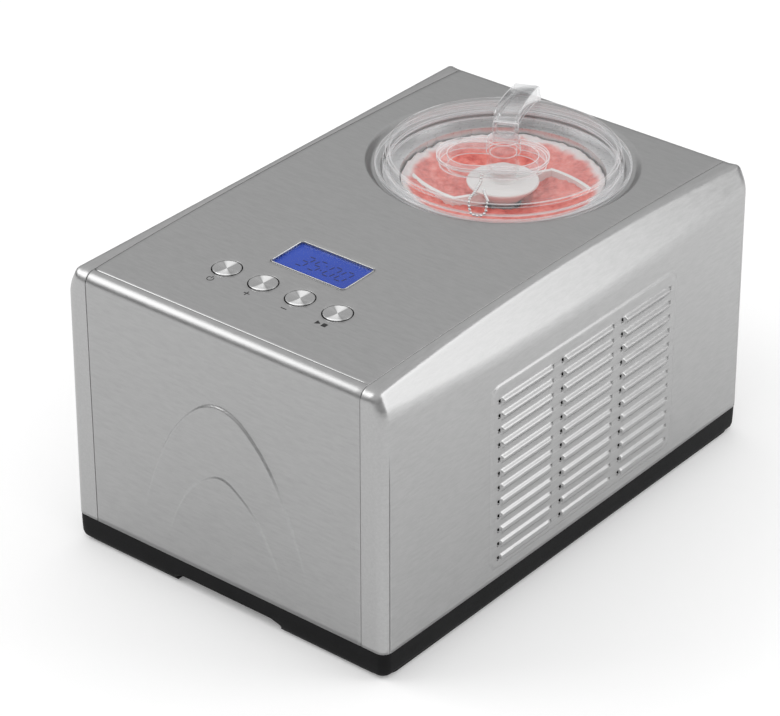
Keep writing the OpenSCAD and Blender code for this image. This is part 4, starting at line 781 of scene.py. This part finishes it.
# ------------------------------------------------------------------ materials of the carried-over CAD nodes
# edge and rim set the painted edge highlight of the lid
lid_clear = clear("lid_clear_plastic", (0.978, 0.98, 0.983), power=1.15, edge=0.0018, rim=0.85, haze=0.13, haze_z=0.2343)
mat = {
    "base_black": black_base,
    "foot_rubber": plastic("rubber_black", (0.02, 0.02, 0.02), (0.6, 0.8), 700, 0.2),
    "screw_steel": brushed("screw_steel", 0.4, (0, 0, 1), (0.25, 0.4), 0.1),
    "gland_black": plastic("gland_black", (0.015, 0.015, 0.015), (0.5, 0.65), 900, 0.2),
    "case_steel": steel_x,
    "bezel_chrome": chrome,
    "window_clear": clear("display_window_clear", (0.9, 0.93, 0.99), 0.03, 0.0, 0.6, 2.4),
    "lcd_blue": lcd_m,
    "board_green": plastic("board_green", (0.02, 0.13, 0.05), (0.3, 0.45), 500, 0.1),
    "switch_black": plastic("switch_black", (0.02, 0.02, 0.022), (0.45, 0.6), 900),
    "button_spun": spun,
    "bowl_aluminium": brushed("bowl_aluminium_satin", 0.62, (0, 0, 1), (0.22, 0.34), 0.06, 0.05),
    "well_aluminium": brushed("well_aluminium_mill", 0.58, (0, 0, 1), (0.3, 0.42), 0.08, 0.06),
    "copper": brushed("copper_drawn", 0.6, (0, 0, 1), (0.25, 0.4), 0.05),
    "foam_cream": plastic("foam_cream", (0.62, 0.55, 0.36), (0.8, 0.95), 260, 0.5, 0.12),
    "bracket_steel": brushed("bracket_galvanised", 0.42, (0, 1, 0), (0.35, 0.5), 0.1),
    "paddle_white": plastic("paddle_white_plastic", (0.80, 0.79, 0.77), (0.28, 0.4), 500, 0.05, 0.03),
    "lid_clear": lid_clear,
    "chain_chrome": chrome,
    "shaft_steel": brushed("shaft_ground_steel", 0.55, (0, 0, 0), (0.15, 0.28), 0.05),
    "gear_nylon": plastic("gear_nylon_white", (0.72, 0.70, 0.62), (0.4, 0.55), 400, 0.08, 0.05),
    "bronze": brushed("sintered_bronze", 0.5, (0, 0, 0), (0.4, 0.5), 0.1),
    "motor_steel": plastic("motor_painted", (0.06, 0.065, 0.07), (0.35, 0.5), 800, 0.15),
    "gearbox_plastic": plastic("gearbox_plastic", (0.03, 0.03, 0.033), (0.45, 0.6), 600, 0.2),
    "compressor_black": plastic("compressor_enamel", (0.008, 0.008, 0.009), (0.2, 0.35), 300, 0.15),
    "fin_aluminium": brushed("fin_aluminium", 0.66, (1, 0, 0), (0.3, 0.42), 0.08),
    "fan_black": plastic("fan_black_plastic", (0.012, 0.012, 0.013), (0.4, 0.55), 700, 0.15),
}
for nm, rgb in (("copper", (0.72, 0.33, 0.19)), ("bronze", (0.55, 0.36, 0.16))):
    nt = mat[nm].node_tree
    cr_ = next(n for n in nt.nodes if n.type == "VALTORGB")
    for e, k in zip(cr_.color_ramp.elements, (0.85, 1.1)):
        e.color = (*[min(1, c * k) for c in rgb], 1)
slot_of = {s["node"]: s["material_slot"] for s in frame["record"]["subparts"]}
for nm, ob in frame["nodes"].items():
    m = mat[slot_of[nm]]
    ob.data.materials.clear()
    ob.data.materials.append(m)

# ------------------------------------------------------------------ stage, light
fl = bpy.data.meshes.new("floor")
fl.from_pydata([(-6, -6, 0), (6, -6, 0), (6, 6, 0), (-6, 6, 0)], [], [(0, 1, 2, 3)])
floor = bpy.data.objects.new("floor", fl)
scene.collection.objects.link(floor)
fm, nt, b, out = ntree("floor_white")
b.inputs["Base Color"].default_value = (0.9, 0.9, 0.9, 1); b.inputs["Roughness"].default_value = 1.0
b.inputs["Specular IOR Level"].default_value = 0.0
b.inputs["Emission Color"].default_value = (1, 1, 1, 1); b.inputs["Emission Strength"].default_value = 0.15
fl.materials.append(fm)

def softbox(name, loc, target, sx, sy, power, col=(1, 1, 1)):
    l = bpy.data.lights.new(name, "AREA")
    l.shape, l.size, l.size_y, l.energy, l.color = "RECTANGLE", sx, sy, power, col
    o = bpy.data.objects.new(name, l)
    scene.collection.objects.link(o)
    o.location = loc
    o.rotation_mode = "QUATERNION"
    o.rotation_quaternion = (Vector(target) - Vector(loc)).to_track_quat("-Z", "Y")
    return o
softbox("key_left", (-1.45, -1.0, 1.55), (0, 0, 0.15), 1.5, 1.1, 13)
softbox("rim_right", (1.12, 0.62, 0.56), (0, -0.1, 0.15), 0.7, 0.95, 4.6)

world = bpy.data.worlds.new("studio") if not scene.world else scene.world
scene.world = world
world.use_nodes = True
nt = world.node_tree
for n in list(nt.nodes):
    nt.nodes.remove(n)
wo = nt.nodes.new("ShaderNodeOutputWorld"); bg = nt.nodes.new("ShaderNodeBackground")
tcw = nt.nodes.new("ShaderNodeTexCoord"); sp = nt.nodes.new("ShaderNodeSeparateXYZ")
nt.links.new(tcw.outputs["Generated"], sp.inputs[0])
wr = remap(nt, sp.outputs[2], -1, 1, 0, 1)
cr2 = ramp(nt, wr.outputs[0], [(0.47, (0.9,) * 3), (0.49, (0.16,) * 3), (0.56, (0.22,) * 3), (0.68, (0.80,) * 3), (1.0, (0.95,) * 3)])
nt.links.new(cr2.outputs[0], bg.inputs[0]); bg.inputs[1].default_value = 1.0
nt.links.new(bg.outputs[0], wo.inputs[0])
scene.view_settings.view_transform = "Standard"
scene.view_settings.look = "None"
if hasattr(scene, "cycles"):
    scene.cycles.transparent_max_bounces = 32
